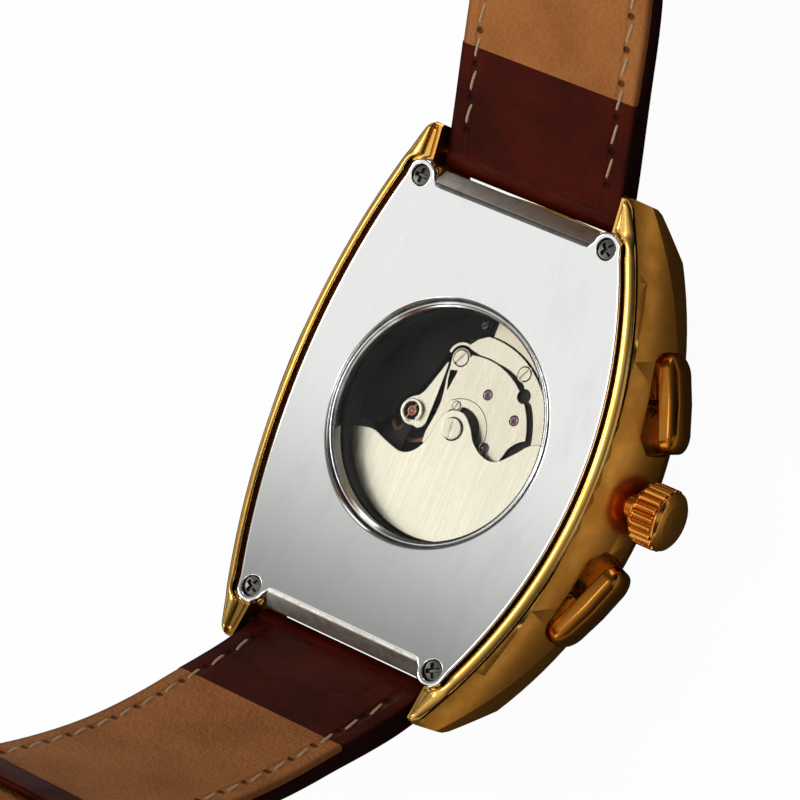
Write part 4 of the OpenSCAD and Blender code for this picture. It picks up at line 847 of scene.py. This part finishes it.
def pusher_grid(side, at, out, lean):
    """Rings of a rounded rectangle, drawn in and raised as a quarter circle, with a crowned outer face.

    The crown takes u^2 / 18 + v^2 / 60 off the height, where u is upwards and v is along the cap.
    """
    t = full_turn(96)[None, :]
    q, p = np.linspace(0, math.pi / 2, 7), np.linspace(0, math.pi / 2, 13)
    d = np.concatenate([0.28 * (1 - np.sin(q)), 1.45 * (1 - np.cos(p))])[:, None]
    h = np.concatenate([CAP_GAP + 0.28 * (1 - np.cos(q)), CAP_GAP + CAP_T - 1.1 + 1.1 * np.sin(p)])[:, None]
    r = CAP_CORNER - d * 0.55
    u, v = [np.sign(a) * (size / 2 - d - r) * (np.abs(a) > 1e-9) + r * a
            for a, size in ((np.cos(t), CAP_H), (np.sin(t), CAP_L))]
    shrink = np.linspace(0, 1, 9)[1:, None]
    spine = np.clip(v, -(CAP_L - CAP_H) / 2, (CAP_L - CAP_H) / 2)
    u = np.concatenate([u[:1] * (1 - shrink[::-1]), u, u[-1:] * (1 - shrink)])
    v = np.concatenate([v[:1] + (spine[:1] - v[:1]) * shrink[::-1], v, v[-1:] + (spine[-1:] - v[-1:]) * shrink])
    h = np.concatenate([np.full((8, 1), CAP_GAP), h, np.full((8, 1), CAP_GAP + CAP_T)])
    n = h - np.clip((h - CAP_GAP) / CAP_T, 0, 1) * (u * u / 18 + v * v / 60)
    along = np.array([-out[1] * math.cos(lean), out[0] * math.cos(lean), side * math.sin(lean)])
    return at + n[..., None] * out + v[..., None] * along + u[..., None] * np.cross(out, along)


def pushers():
    """Two caps with their stems and clips, set on the flank's circle and turned away from the crown."""
    z0 = CURVE_Z - math.sqrt((CURVE_Z - CROWN_Z) ** 2 - PUSHER_Y ** 2)
    lean = math.asin(PUSHER_Y / (CURVE_Z - CROWN_Z))
    slope = (WIDEST_W - FLANK_W) / (BACK_Z - WIDEST_Z)
    x0 = side_x(WIDEST_W, WIDEST_R, PUSHER_Y) - slope * (CROWN_Z - WIDEST_Z) - 0.65
    rod = lathe_grid([(0, -4), (0.5, -4), (0.5, -3.35), (0.85, -3.35), (0.85, -3.05), (0.5, -3.05), (0.5, 0.95),
                      (0, 0.95)], (0, 0), 32)
    up, turn = np.array([0, 0, 1.0]), math.radians(22)
    for side, node in ((-1, "pusher_two"), (1, "pusher_four")):
        at = np.array([x0, side * PUSHER_Y, z0])
        out = np.array([math.cos(turn), side * math.sin(turn), 0.0])
        stem = at + rod @ np.stack([np.cross(up, out), up, out])
        parts = [(pusher_grid(side, at, out, lean), False, True, False), (stem, True, False, False)]
        # The caps' dark gold is painted shade
        place_piece(grid_piece(node + "_cap", parts, 45), node, SHADED_CAP_GOLD)


# Straps

def walk_path(start_angle, runs, s):
    """Point and heading at each length s: the heading grows by 1/radius on each run, the point is its running sum."""
    step = 0.02
    fine = np.arange(0, 130, step)
    ends = np.cumsum([length for length, _ in runs])[:-1]
    bend = np.array([1 / radius if radius else 0.0 for _, radius in runs])[np.searchsorted(ends, fine, "right")]
    heading = math.radians(start_angle) + np.concatenate([[0], np.cumsum(bend[:-1]) * step])
    half = (heading + bend * step / 2)[:-1]
    y = BAR_Y + np.concatenate([[0], np.cumsum(np.cos(half)) * step])
    z = BAR_Z + np.concatenate([[0], np.cumsum(np.sin(half)) * step])
    return [np.interp(s, fine, line) for line in (y, z, heading)]


# Each strap's angle at the bar in degrees, and its runs as (length, radius), where radius 0 is straight
PATHS = {"six": (26, [(14, 0), (104, 75)]), "twelve": (48, [(36, 74), (26, 0), (13, 52.8)])}


def sway(strap, s):
    """Sideways set of a worn strap: eases in over the first centimetre and out again before the far end."""
    def ease(a, b):
        k = np.clip((s - a) / (b - a), 0, 1)
        return k * k * (3 - 2 * k)

    return -0.22 * ease(2, 15) if strap == "six" else -0.75 * ease(2, 14) * (1 - ease(30, 56))


def strap_point(strap, x, s, n):
    """The point at x across, s along and n out of the strap's middle towards the wrist."""
    y, z, a = walk_path(*PATHS[strap], s)
    flip = 1 if strap == "six" else -1
    return np.stack([x + sway(strap, s), flip * (y - n * np.sin(a)), z + n * np.cos(a)], -1)


def lining_top(s):
    """Height of the wrist side: half the strap's thickness, which falls evenly between 3 and 24 mm."""
    return (ROOT_T - (ROOT_T - STRAP_T) * np.clip((s - 3) / 21, 0, 1)) / 2


def outer_face(s):
    """The leather's face away from the wrist, with its crown."""
    return -lining_top(s) - 0.1


def strap_half(s, strap):
    """Half width: narrows evenly, and ends in a rounded tip on the long strap."""
    first = 20.0 if strap == "six" else 0.0
    w = 0.08 + (STRAP_W + (STRAP_END_W - STRAP_W) * np.clip((s - first) / (NARROW_TO - first), 0, 1)) / 2
    if strap == "six":
        w = w * np.sqrt(np.clip(1 - (np.clip(s - SIX_L + TIP_L, 0, None) / TIP_L) ** 2, 0.04, 1))
    return w


def strap_stations(a, b, strap):
    """Lengths a millimetre apart, and closer together round the long strap's tip."""
    s = np.arange(a, b, 1.0)
    tip = b - TIP_L * (1 - np.linspace(0, 1, 20)) ** 1.6 if strap == "six" else np.array([b])
    return np.unique(np.concatenate([s[s < tip[0] - 0.5], tip]))


def lay_uv(mesh, flat, from_edge=None):
    """UV map out of two lengths for each vertex, and each vertex's distance from the strap's edge."""
    vert = values(mesh.loops, "vertex_index", kind=np.int32)
    mesh.uv_layers.new(name="UVMap").data.foreach_set("uv", flat[vert].ravel())
    if from_edge is not None:
        edge = mesh.attributes.new("from_edge", "FLOAT", "POINT")
        edge.data.foreach_set("value", from_edge.ravel().astype(np.float32))


def strap_tube(name, strap, s, low, high, shrink, crown_low, crown_high, corner=0.42):
    """A closed section carried along the strap: flat faces with a crown, and round edges as quarter ellipses."""
    w = (strap_half(s, strap) - shrink)[:, None]
    lo, hi = low(s)[:, None], high(s)[:, None]
    c = np.minimum(corner, (hi - lo) / 2.05)
    q = np.linspace(0, math.pi / 2, 5)
    f = np.linspace(1, -1, 25)[1:-1]
    side, flat = w - c + c * np.cos(q), (w - c) * f
    above, below = hi - c + c * np.sin(q), lo + c - c * np.sin(q)
    x = np.concatenate([side, flat, -side[:, ::-1], -side, -flat, side[:, ::-1]], 1)
    n = np.concatenate([above, hi + crown_high * (1 - f ** 4), above[:, ::-1],
                        below, lo - crown_low * (1 - f ** 4), below[:, ::-1]], 1)
    s = s[:, None] + 0 * x
    grid = capped(strap_point(strap, x, s, n))
    x, s = np.concatenate([0 * x[:1], x, 0 * x[:1]]), np.concatenate([s[:1], s, s[-1:]])
    mesh = new_mesh(name, grid, grid_faces(*x.shape, False, True))
    lay_uv(mesh, np.stack([x.ravel(), s.ravel()], -1) / 100, strap_half(s, strap) - np.abs(x))
    rework(mesh, close_seams)
    return smooth_object(name, mesh, 60)


def stitch_row(strap, side, last, face):
    """Capsules along the strap: each is a swept circle whose ends dive into the leather, leaning a little across it."""
    at = np.arange(STITCH_PITCH, last - STITCH_PITCH, STITCH_PITCH)[:, None, None]
    u = np.linspace(-1, 1, 9)[None, :, None]
    t = full_turn(6)[None, None, :]
    s = at + STITCH_PITCH / 2 + u * 1.2 + 0 * t
    r = 0.15 * np.sqrt(np.clip(1 - u ** 6, 0, 1))
    lean = 0.20 * u + 0.06 * (1 - u * u) * side
    x = side * (strap_half(s, strap) - STITCH_IN) + lean + r * np.cos(t)
    lift = 0.03 - 0.24 * u ** 4 + r * np.sin(t)
    return strap_point(strap, x, s, face(s) + (lift if face is lining_top else -lift))


def stitches(strap, last):
    """All stitches of one strap, both edges and both faces, as one mesh."""
    rows = np.concatenate([stitch_row(strap, side, last, face)
                           for side in (-1, 1) for face in (lining_top, outer_face)])
    count, ring, tube = rows.shape[:3]
    faces = grid_faces(ring, tube, False, True)[None] + (np.arange(count) * ring * tube)[:, None, None]
    mesh = new_mesh("stitches_" + strap, rows, faces.reshape(-1, 4))
    i = np.arange(count * ring * tube)
    lay_uv(mesh, np.stack([i % tube / tube * 0.013, i // tube % ring / ring * 0.026], -1))
    rework(mesh, lambda bm: bmesh.ops.recalc_face_normals(bm, faces=bm.faces))
    place_piece(smooth_object("stitches_" + strap, mesh), None, THREAD, "strap_" + strap)


def straps():
    """Leather, lining, loops and stitches of both straps."""
    around = [9.6, 9.85, 9.97, 9.99]
    x = np.concatenate([np.negative(around[::-1]), np.linspace(-9, 9, 19), around])[None, :]
    r = np.concatenate([[0.8, 1.3, 1.48, 1.55], np.full(19, 1.55), [1.55, 1.48, 1.3, 0.8]])[None, :]
    t = full_turn(64)[:, None]
    under_lining = lambda s: lining_top(s) - np.where(s < LINING_START, 0, LINING_T + 0.05)
    for strap, length, flip, short, bare in (("six", SIX_L, 1, 0.4, 11), ("twelve", TWELVE_L, -1, 1.8, 5)):
        edges = [LINING_START - 0.01, LINING_START + 0.01]
        s = np.unique(np.concatenate([strap_stations(0.4, length, strap), edges]))
        hide = strap_tube("hide_" + strap, strap, s, lambda s: -lining_top(s), under_lining, 0.0, 0.12, 0.0)
        place_piece(hide, "strap_" + strap, LEATHER)
        lining = strap_tube("lining_face_" + strap, strap, strap_stations(LINING_START, length - short, strap),
                            lambda s: lining_top(s) - LINING_T, lining_top, 0.15, 0.0, 0.03, 0.3)
        place_piece(lining, "lining_" + strap, LINING)
        grid = np.stack([x + 0 * t, flip * (BAR_Y + r * np.cos(t)), BAR_Z + r * np.sin(t)], -1)
        loop = grid_piece("loop_" + strap, [(grid, True, False, False)], 60)
        add_strap_uv(loop.data)
        place_piece(loop, None, LEATHER, "strap_" + strap)
        stitches(strap, length - bare)


def add_strap_uv(mesh):
    """UV of a loop or keeper: x across, and the other two coordinates' sum along, in the strap's measure."""
    co = values(mesh.vertices, "co", 3) * 10
    lay_uv(mesh, np.stack([co[:, 0], co[:, 2] + co[:, 1]], -1), np.full(len(co), 5.0))


def keeper(node, s0):
    """A band round the strap: a rounded rectangle path, and a crowned section 4 mm wide carried round it."""
    y, z, a = [float(v) for v in walk_path(*PATHS["twelve"], s0)]
    w = float(strap_half(s0, "twelve")) + 0.32
    low, high, thick, corner = STRAP_T / 2 + 2.6, STRAP_T / 2 + 0.2, 1.1, 0.35
    t, q = full_turn(120)[:, None], full_turn(28)[None, :]
    sx = np.sign(np.cos(q)) * np.abs(np.cos(q)) ** 0.35
    sy = np.sign(np.sin(q)) * np.abs(np.sin(q)) ** 0.55
    along = 2.0 * sx
    r = corner + thick / 2 + thick / 2 * sy - 0.12 * sx ** 2 * (sy > 0)
    ct, st = np.cos(t), np.sin(t)
    x = np.sign(ct) * (w - corner) + r * ct + sway("twelve", s0 - 3)
    n = (high - low) / 2 + np.sign(st) * ((high + low) / 2 - corner) + r * st
    yy = y + along * math.cos(a) - n * math.sin(a)
    zz = z + along * math.sin(a) + n * math.cos(a)
    piece = grid_piece(node + "_band", [(np.stack([x, -yy, zz], -1), True, True, False)], 60)
    add_strap_uv(piece.data)
    place_piece(piece, node, LEATHER)


# Movement

# Centres in the window: screws, jewels, the balance, and the curl of the two bridges
COCK_SCREW, BRIDGE_SCREW, SMALL_SCREW, COVER_SCREW = (-2.69, 6.43), (4.30, 7.36), (-1.18, 2.12), (-1.75, 10.1)
STONES, BALANCE, CURL = [(1.52, 4.22), (5.18, 2.96), (3.34, -0.54)], (-5.39, 0.07), (5.15, 5.4)


def curve_through(points, per=8):
    """Smooth open chain through the points: cubic pieces, with half the step between a point's neighbours as slope."""
    p = np.asarray(points, float)
    q = np.concatenate([2 * p[:1] - p[1:2], p, 2 * p[-1:] - p[-2:-1]])
    t = np.linspace(0, 1, per, endpoint=False)[None, :, None]
    a, b, c, d = q[:-3, None], q[1:-2, None], q[2:-1, None], q[3:, None]
    out = 0.5 * (2 * b + (c - a) * t + (2 * a - 5 * b + 4 * c - d) * t ** 2 + (3 * b - 3 * c + d - a) * t ** 3)
    return np.concatenate([out.reshape(-1, 2), p[-1:]])


def arc(r, a0, a1, count=60, centre=(0, 0)):
    """Points on a circle from one angle in degrees to another."""
    return polar(centre, r, np.radians(np.linspace(a0, a1, count)))


def straight(points, step=0.4):
    """Chain of straight runs, each cut into short steps."""
    p = np.asarray(points, float)
    runs = [np.linspace(a, b, max(2, int(np.hypot(*(b - a)) / step)), endpoint=False) for a, b in zip(p[:-1], p[1:])]
    return np.concatenate(runs + [p[-1:]])


def flat_plate(name, outer, holes, top, thick, node, paint, edge=0.05):
    """A level bridge: flat top and bottom with rounded rims and walls in painted shade; its top faces are shaded flat.
    """
    piece = curved_plate(name, outer, holes, lambda x, y: top + 0 * x, thick, edge, 1.6, 3)
    faces = piece.data.polygons
    faces.foreach_set("use_smooth", values(faces, "normal", 3)[:, 2] < 0.9999)
    place_piece(piece, node, paint)
    # Walls that do not look up get near-black: painted shade in the gaps
    paint_shade(piece, PAINTED_SHADE_BLACK, lambda c, n: n[:, 2] < 0.3)


def upper_bridge():
    """The bridge in the middle of the window, with its screw seats, jewel holes and the well round the rotor's post."""
    outline = np.concatenate([
        arc(7.3, 12.5, 41.4, 24), arc(0.68, 299.7, 152.9, 22, CURL)[1:-1], arc(7.3, 51.4, 104, 40),
        arc(1.0, 20, 200, 24, COCK_SCREW),
        straight([(-3.52, 5.8), (-3.42, 4.4), (-3.12, 3.0), (-2.95, 2.0), (-2.98, 1.0), (-3.05, 0.2), (-3.3, -1.2),
                  (-3.2, -2.3), (5.3, -2.3), (5.35, -1.0)])[1:],
        curve_through([(5.5, -0.5), (5.75, 0.3), (6.3, 1.0), (6.95, 1.5)])])
    slot = [(-2.5, 5.22), (-2.78, 3.1), (-3.14, 4.2), (-3.3, 5.0)]
    slot = np.concatenate([np.linspace(a, b, 6, endpoint=False) for a, b in zip(slot, slot[1:] + slot[:1])])
    seats = [(c, 0.50, 32) for c in STONES] + [((0, 0), 2.25, 72), (COCK_SCREW, 0.83, 40), (SMALL_SCREW, 0.47, 24)]
    holes = [ring_points(*seat) for seat in seats] + [slot]
    flat_plate("upper_bridge", outline, holes, 7.8, 0.7, "top_bridge", NICKEL)
    post = lathe_piece("rotor_post", [([(0, 7.0), (0.6, 7.0), (0.6, 8.6), (0, 8.6)], (0, 0), 40)], 40)
    place_piece(post, None, NICKEL)
    # A thin near-black arc laid on the bridge round the rotor's post: painted shade
    sides = [np.column_stack([arc(r, -17, 128, 80), np.full(80, z)])
             for r, z in ((3.04, 7.79), (3.04, 7.806), (3.11, 7.806), (3.11, 7.79))]
    line = grid_piece("painted_shade_arc", [(np.stack(sides, 1), False, True, False)], 40)
    place_piece(line, None, PAINTED_SHADE_BLACK)


def other_bridges():
    """The ring bridge, the plate's margin, the balance cock with its arm and the cover, with painted shade on the walls
    of the gaps between them.
    """
    t = np.radians(np.linspace(97, 53, 40))
    inner = polar((0, 0), 7.40 + 0.46 * np.clip((np.radians(80) - t) / np.radians(24), 0, 1), t)
    outer = np.concatenate([arc(9.35, 8, 95, 80), straight([(-0.85, 9.28), (-1.7, 8.75), (-2.29, 8.05)])[1:-1],
                            arc(1.55, 78, 176, 24, COCK_SCREW), arc(1.24, 176, 62, 28, COCK_SCREW), inner,
                            arc(0.70, 122, -30, 26, CURL)[1:-1], arc(7.92, 38, 8.5, 30)])
    flat_plate("outer_bridge", outer, [ring_points(BRIDGE_SCREW, 0.73, 40)], 7.75, 0.65, "ring_bridge", NICKEL)
    margin = np.concatenate([arc(10.95, 4, 92.5, 80), arc(9.43, 92.5, 4, 80)])
    flat_plate("plate_margin", margin, [], 7.52, 0.5, None, MARGIN_NICKEL)
    cock = np.concatenate([
        straight([(-3.82, 5.95), (-4.05, 5.2), (-4.53, 3.75), (-5.02, 2.29), (-5.45, 1.7), (-6.2, 1.25)]),
        arc(1.38, 125, 290, 40, BALANCE),
        straight([(-4.3, -1.3), (-3.85, -1.05), (-3.6, -0.5), (-3.6, 1.0), (-3.63, 2.5), (-3.68, 4.0), (-3.75, 5.6)])])
    flat_plate("cock", cock[1:], [ring_points(BALANCE, 0.45, 32)], 7.76, 0.66, "balance_cock", NICKEL)
    arm = straight([(-5.9, -1.0), (-4.9, -1.1), (-5.6, -6.4), (-8, -5), (-8, -3.2), (-6, -2), (-5.9, -1.0)])[::-1][1:]
    flat_plate("cock_arm", arm, [], 7.6, 0.4, None, HOLDER)
    edge = straight([(-0.95, 9.5), (-1.8, 9), (-3.55, 7.85), (-4.3, 6.7), (-4.55, 5.2), (-5.7, 1.95), (-7.1, 0.8),
                     (-7.1, -1), (-8.3, -2.3), (-10.6, -2.5)])
    cover = np.concatenate([arc(10.9, 94.6, 193.3, 110), edge[::-1][1:]])
    flat_plate("side_cover", cover, [ring_points(COVER_SCREW, 0.45, 32)], 7.7, 0.7, "movement_cover", LACQUER)


def slotted_head(centre, r, top, turn, thick=0.3):
    """A screw head: flat with a rounded rim, over a polar grid that dips in a slot of half width about 0.12 r."""
    rr = np.concatenate([[0.0], np.linspace(0.06, 0.93, 22), [0.97, 0.99, 1.0, 1.0]])[:, None] * r
    t = full_turn(192)[None, :]
    u = np.abs(rr * np.sin(t - math.radians(turn)))
    z = top - 0.2 * np.clip((0.15 * r - u) / (0.05 * r), 0, 1)
    z[-3], z[-2], z[-1] = z[-3] - 0.012, z[-2] - 0.03, top - thick
    return polar(centre, rr, t, z)


def movement_screws():
    """The slotted screws of the bridges, the small black one of the cover, and the rotor's."""
    for name, node, paint, slot, heads in (
            ("slotted_screws", "bridge_screws", SCREW_NICKEL, None,
             [(COCK_SCREW, 0.75, 7.83, 62), (BRIDGE_SCREW, 0.65, 7.79, 62), (SMALL_SCREW, 0.40, 7.85, 75)]),
            ("cover_screw", None, DARK_STEEL_AND_SHADE, "steel", [(COVER_SCREW, 0.38, 7.66, 40)]),
            ("rotor_bolt", "rotor_screw", SCREW_NICKEL, None, [((0, 0), 1.03, 9.18, 93)])):
        parts = [(slotted_head(*head), False, True, False) for head in heads]
        place_piece(grid_piece(name, parts, 50), node, paint)


def rotor():
    """Rotor: a half disc whose upper edge swings in an S on both sides of the hub, turned by 15 degrees."""
    half = [(10.78, -0.6), (8.6, -0.75), (7, -1.7), (5.2, -2.6), (3.7, -2.3), (2.5, -1.1), (1.9, 0.3), (1.1, 1.45)]
    top = curve_through(half + [(0, 1.8)] + [(-x, y) for x, y in half[::-1]], 9)
    c, k = math.cos(math.radians(15)), math.sin(math.radians(15))
    loop = np.concatenate([top, arc(10.8, 183.4, 356.6, 130)]) @ np.array([[c, k], [-k, c]])
    flat_plate("rotor_sheet", loop, [ring_points((0, 0), 1.12, 60)], 8.9, 0.28, "rotor_plate", ROTOR_NICKEL, 0.06)


def jewels():
    """Each jewel: a polished stone with an oil sink in its middle."""
    stone = [(0.0, 7.60), (0.10, 7.60), (0.13, 7.68), (0.22, 7.74), (0.34, 7.77), (0.42, 7.75), (0.46, 7.68),
             (0.46, 7.5), (0.0, 7.5)]
    place_piece(lathe_piece("jewel_stones", [(stone, c, 40) for c in STONES], 40), "jewels", RUBY)


def shock_setting():
    """Setting over the balance: a pale horseshoe, a well whose near-black floor is painted shade, a copper ring and two
    brass tongues round the jewel.
    """
    t = np.radians(np.linspace(-40, 262, 60))[:, None]
    r, h = rounded_profile([(0.86, 7.9), (0.86, 8.12), (1.16, 8.12), (1.16, 7.9)], 0.05, 3).T[:, None, :]
    horseshoe = grid_piece("horseshoe", [(capped(polar(BALANCE, r, t, h)), False, True, False)], 50)
    place_piece(horseshoe, None, NICKEL)
    # The well's floor: painted shade
    floor = [(0.0, 7.83), (0.86, 7.83), (0.87, 7.86), (0.87, 7.78), (0.0, 7.78)]
    place_piece(lathe_piece("setting_well", [(floor, BALANCE, 48)], 50), None, PAINTED_SHADE_BLACK)
    ring = rounded_profile([(0.30, 7.84), (0.30, 7.96), (0.40, 8.0), (0.50, 7.96), (0.50, 7.84)], 0.03, 2)
    parts = [(lathe_grid(ring, BALANCE, 48), True, False, False)]
    along, wide = np.meshgrid(np.linspace(0.28, 0.95, 6), [-0.07, -0.04, 0.04, 0.07], indexing="ij")
    for a in np.radians((70, 250)):
        c, w = math.cos(a), math.sin(a)
        x, y = BALANCE[0] + along * c - wide * w, BALANCE[1] + along * w + wide * c
        parts.append((np.stack([x, y, 8.03 - 0.03 * (np.abs(wide) > 0.05)], -1), False, False, False))
    place_piece(grid_piece("setting_ring", parts, 50), None, COPPER)
    stone = [(0.0, 7.95), (0.12, 7.94), (0.24, 7.91), (0.31, 7.86), (0.31, 7.8), (0.0, 7.8)]
    place_piece(lathe_piece("setting_stone", [(stone, BALANCE, 40)], 50), None, RUBY)


# Dial

def print_marks(centre, count, inner, outer, half):
    """Flat strokes round a centre: each runs from the inner to the outer radius, and is twice half wide."""
    a = (np.arange(count) * 360 / count * math.pi / 180)[:, None]
    r = np.stack([inner, outer, outer, inner], -1)
    w = np.array([-half, -half, half, half])
    return polar(centre, r, a) + np.stack([-w * np.sin(a), w * np.cos(a)], -1)


def number(text, size, x, y):
    """A number as flat faces, read from the front: right is +X and up is -Y."""
    curve = bpy.data.curves.new("number", "FONT")
    curve.body, curve.size, curve.align_x, curve.align_y, curve.resolution_u = text, size, "CENTER", "CENTER", 2
    holder = bpy.data.objects.new("number", curve)
    bpy.context.scene.collection.objects.link(holder)
    bpy.context.view_layer.update()
    mesh = bpy.data.meshes.new_from_object(holder)
    co = values(mesh.vertices, "co", 3)[:, :2] * (1, -1) + (x, y)
    faces = [list(p.vertices) for p in mesh.polygons]
    bpy.data.objects.remove(holder)
    bpy.data.meshes.remove(mesh)
    return co, faces


def dial_print():
    """Printing on the dial: a minute track, and a track, strokes and numbers on each small dial.

    The minute track follows the lesser of the dial's sides and a barrel: 15.4 / (0.35 |cos|^3 + 0.25 |sin| + 0.75).
    """
    strokes = []
    for centre in SMALL_DIALS:
        strokes += [print_marks(centre, 12, 2.35, 2.75, 0.035), print_marks(centre, 60, 2.62, 2.75, 0.016)]
    a = np.radians(np.arange(60) * 6.0)
    u, v = np.abs(np.cos(a)), np.abs(np.sin(a))
    sides = np.minimum(12.35 / np.maximum(u, 1e-6), 15.75 / np.maximum(v, 1e-6))
    reach = np.minimum(sides, 15.4 / (u ** 3 * 0.35 + v * 0.25 + 0.75))
    strokes.append(print_marks((0, 0), 60, reach - np.where(np.arange(60) % 5 == 0, 0.9, 0.5), reach, 0.04))
    points = [np.concatenate(strokes).reshape(-1, 2)]
    count = len(points[0])
    faces = np.arange(count).reshape(-1, 4).tolist()
    for (cx, cy), words in zip(SMALL_DIALS, ("60 15 30 45", "31 8 16 24", "24 6 12 18")):
        for text, (dx, dy) in zip(words.split(), ((0, -1.75), (1.7, 0), (0, 1.75), (-1.7, 0))):
            co, polys = number(text, 0.95, cx + dx, cy + dy)
            points.append(co)
            faces += [[i + count for i in f] for f in polys]
            count += len(co)
    mesh = new_mesh("dial_print", np.column_stack([np.concatenate(points), np.full(count, DIAL_Z - 0.012)]), faces)
    rework(mesh, lambda bm: bmesh.ops.reverse_faces(bm, faces=[f for f in bm.faces if f.normal.z > 0]))
    place_piece(bpy.data.objects.new("dial_print", mesh), None, INK)


# Nodes whose shape is right, with the rounding of their edges in millimetres and its steps
EDGES = [
    ("front_bezel", "bezel", 0.3, 3, GOLD), ("bar_ends", "spring_bars", 0.06, 2, STEEL),
    ("rotor_rim", "rotor_weight", 0.05, 2, ROTOR_NICKEL), ("crown_collar", "crown_tube", 0.08, 2, SHADED_CROWN_GOLD),
    ("tongue", "buckle_tongue", 0.3, 3, GOLD), ("buckle", "buckle_frame", 0.45, 4, GOLD),
    ("hand_hour", "hour_hand", 0.05, 2, GOLD), ("hand_minute", "minute_hand", 0.05, 2, GOLD),
    ("markers", "hour_markers", 0.05, 2, GOLD), ("flange", "inner_flange", 0.08, 2, DIAL),
]
for name, node, edge, steps, paint in EDGES:
    worked_copy(name, node, edge, steps, paint)

middle_case()
rim_beads()
back_plate()
corner_screws()
window_ring()
crown()
pushers()
straps()
keeper("free_keeper", 45.0)
keeper("fixed_keeper", 65.0)
dial_print()
upper_bridge()
other_bridges()
movement_screws()
rotor()
jewels()
shock_setting()


# Studio

def white_floor():
    """The floor: white to the camera; to reflections it carries a painted shadow, dark near the watch and darkest past
    the ends of the case.
    """
    p = Paint("floor", (0.86, 0.86, 0.855), 0.7)
    p.rough(p.noise(p.place((0.05, 0.05, 0.05)), 1.0, 2).between(0.3, 0.7, 0.65, 0.75))
    seen, glossy, through = [p.node("LightPath", out="Is %s Ray" % k) for k in ("Camera", "Glossy", "Transmission")]
    x, y = [p.axis(p.place(), k) for k in "XY"]
    away = (x * x + y * y).root()
    mirrored = glossy.larger(through)
    ends = y.abs().between(5, 27, 1.0, 0.10)
    near = ends + (1 - ends) * away.between(80, 150)
    lit = away.between(22, 115) * near
    # Painted shadow for reflections: near-black colour, and no white, where lit is low
    p.colour(p.blend(mirrored * (1 - lit), (0.86, 0.86, 0.855), (0.05, 0.045, 0.04)))
    white = p.node("Emission", {}, {"Color": (1, 1, 1, 1), "Strength": 1.0})
    p.surface((seen * 0.96).larger(mirrored * lit * 0.9), Field(p, p.shader.outputs[0]), white)
    mesh = bpy.data.meshes.new("floor")
    mesh.from_pydata([(-3, -3, 0), (3, -3, 0), (3, 3, 0), (-3, 3, 0)], [], [(0, 1, 2, 3)])
    mesh.materials.append(p.material)
    floor = bpy.data.objects.new("floor", mesh)
    bpy.context.scene.collection.objects.link(floor)


def studio():
    """Surround that fades downwards, to the right and towards the six o'clock strap, with five lamps and the camera."""
    scene = bpy.context.scene
    scene.world = bpy.data.worlds.new("studio")
    scene.world.use_nodes = True
    sky = Nodes(scene.world.node_tree)
    x, y, z = [sky.axis(sky.node("TexCoord", out="Generated"), k) for k in "XYZ"]
    light = z.between(0.05, 0.62, 0.10, 1.0) * y.between(-0.08, 0.37, 1.0, 0.2) * x.between(0.25, 0.90, 1.0, 0.15)
    back = sky.tree.nodes["Background"]
    back.inputs["Color"].default_value = (1, 1, 1, 1)
    sky.tree.links.new(light.socket, back.inputs["Strength"])

    for name, place, aim_z, size, power in (
            ("key", (-0.66, -0.12, 0.58), 0.01, 0.26, 1.3), ("overhead", (0.10, -0.05, 0.95), 0.01, 0.20, 0.55),
            ("fill", (-0.10, -0.85, 0.40), 0.02, 0.40, 1.0), ("back", (-0.15, 0.85, 0.35), 0.03, 0.40, 1.4),
            ("side", (0.78, 0.02, 0.22), 0.01, 0.30, 0.14)):
        lamp = bpy.data.lights.new(name, "AREA")
        lamp.shape, lamp.size, lamp.energy = "SQUARE", size, power
        o = bpy.data.objects.new(name, lamp)
        o.location = place
        o.rotation_euler = (Vector((0, 0, aim_z)) - Vector(place)).to_track_quat("-Z", "Y").to_euler()
        scene.collection.objects.link(o)

    # The photograph's camera: three rough axes, brought square by a singular value decomposition
    camera = bpy.data.cameras.new("camera")
    camera.sensor_width, camera.lens = 36, 211.446
    camera.clip_start, camera.clip_end = 0.01, 50
    o = bpy.data.objects.new("camera", camera)
    axes = np.array([[0.7863, -0.3418, 0.5147], [0.3817, 0.9238, 0.0304], [-0.4858, 0.1726, 0.8569]])
    u, _, v = np.linalg.svd(axes)
    o.matrix_world = Matrix.Translation((0.22199, 0.01401, 0.38929)) @ Matrix((u @ v).tolist()).to_4x4()
    scene.collection.objects.link(o)
    scene.camera = o
    scene.view_settings.view_transform = "Standard"


white_floor()
studio()
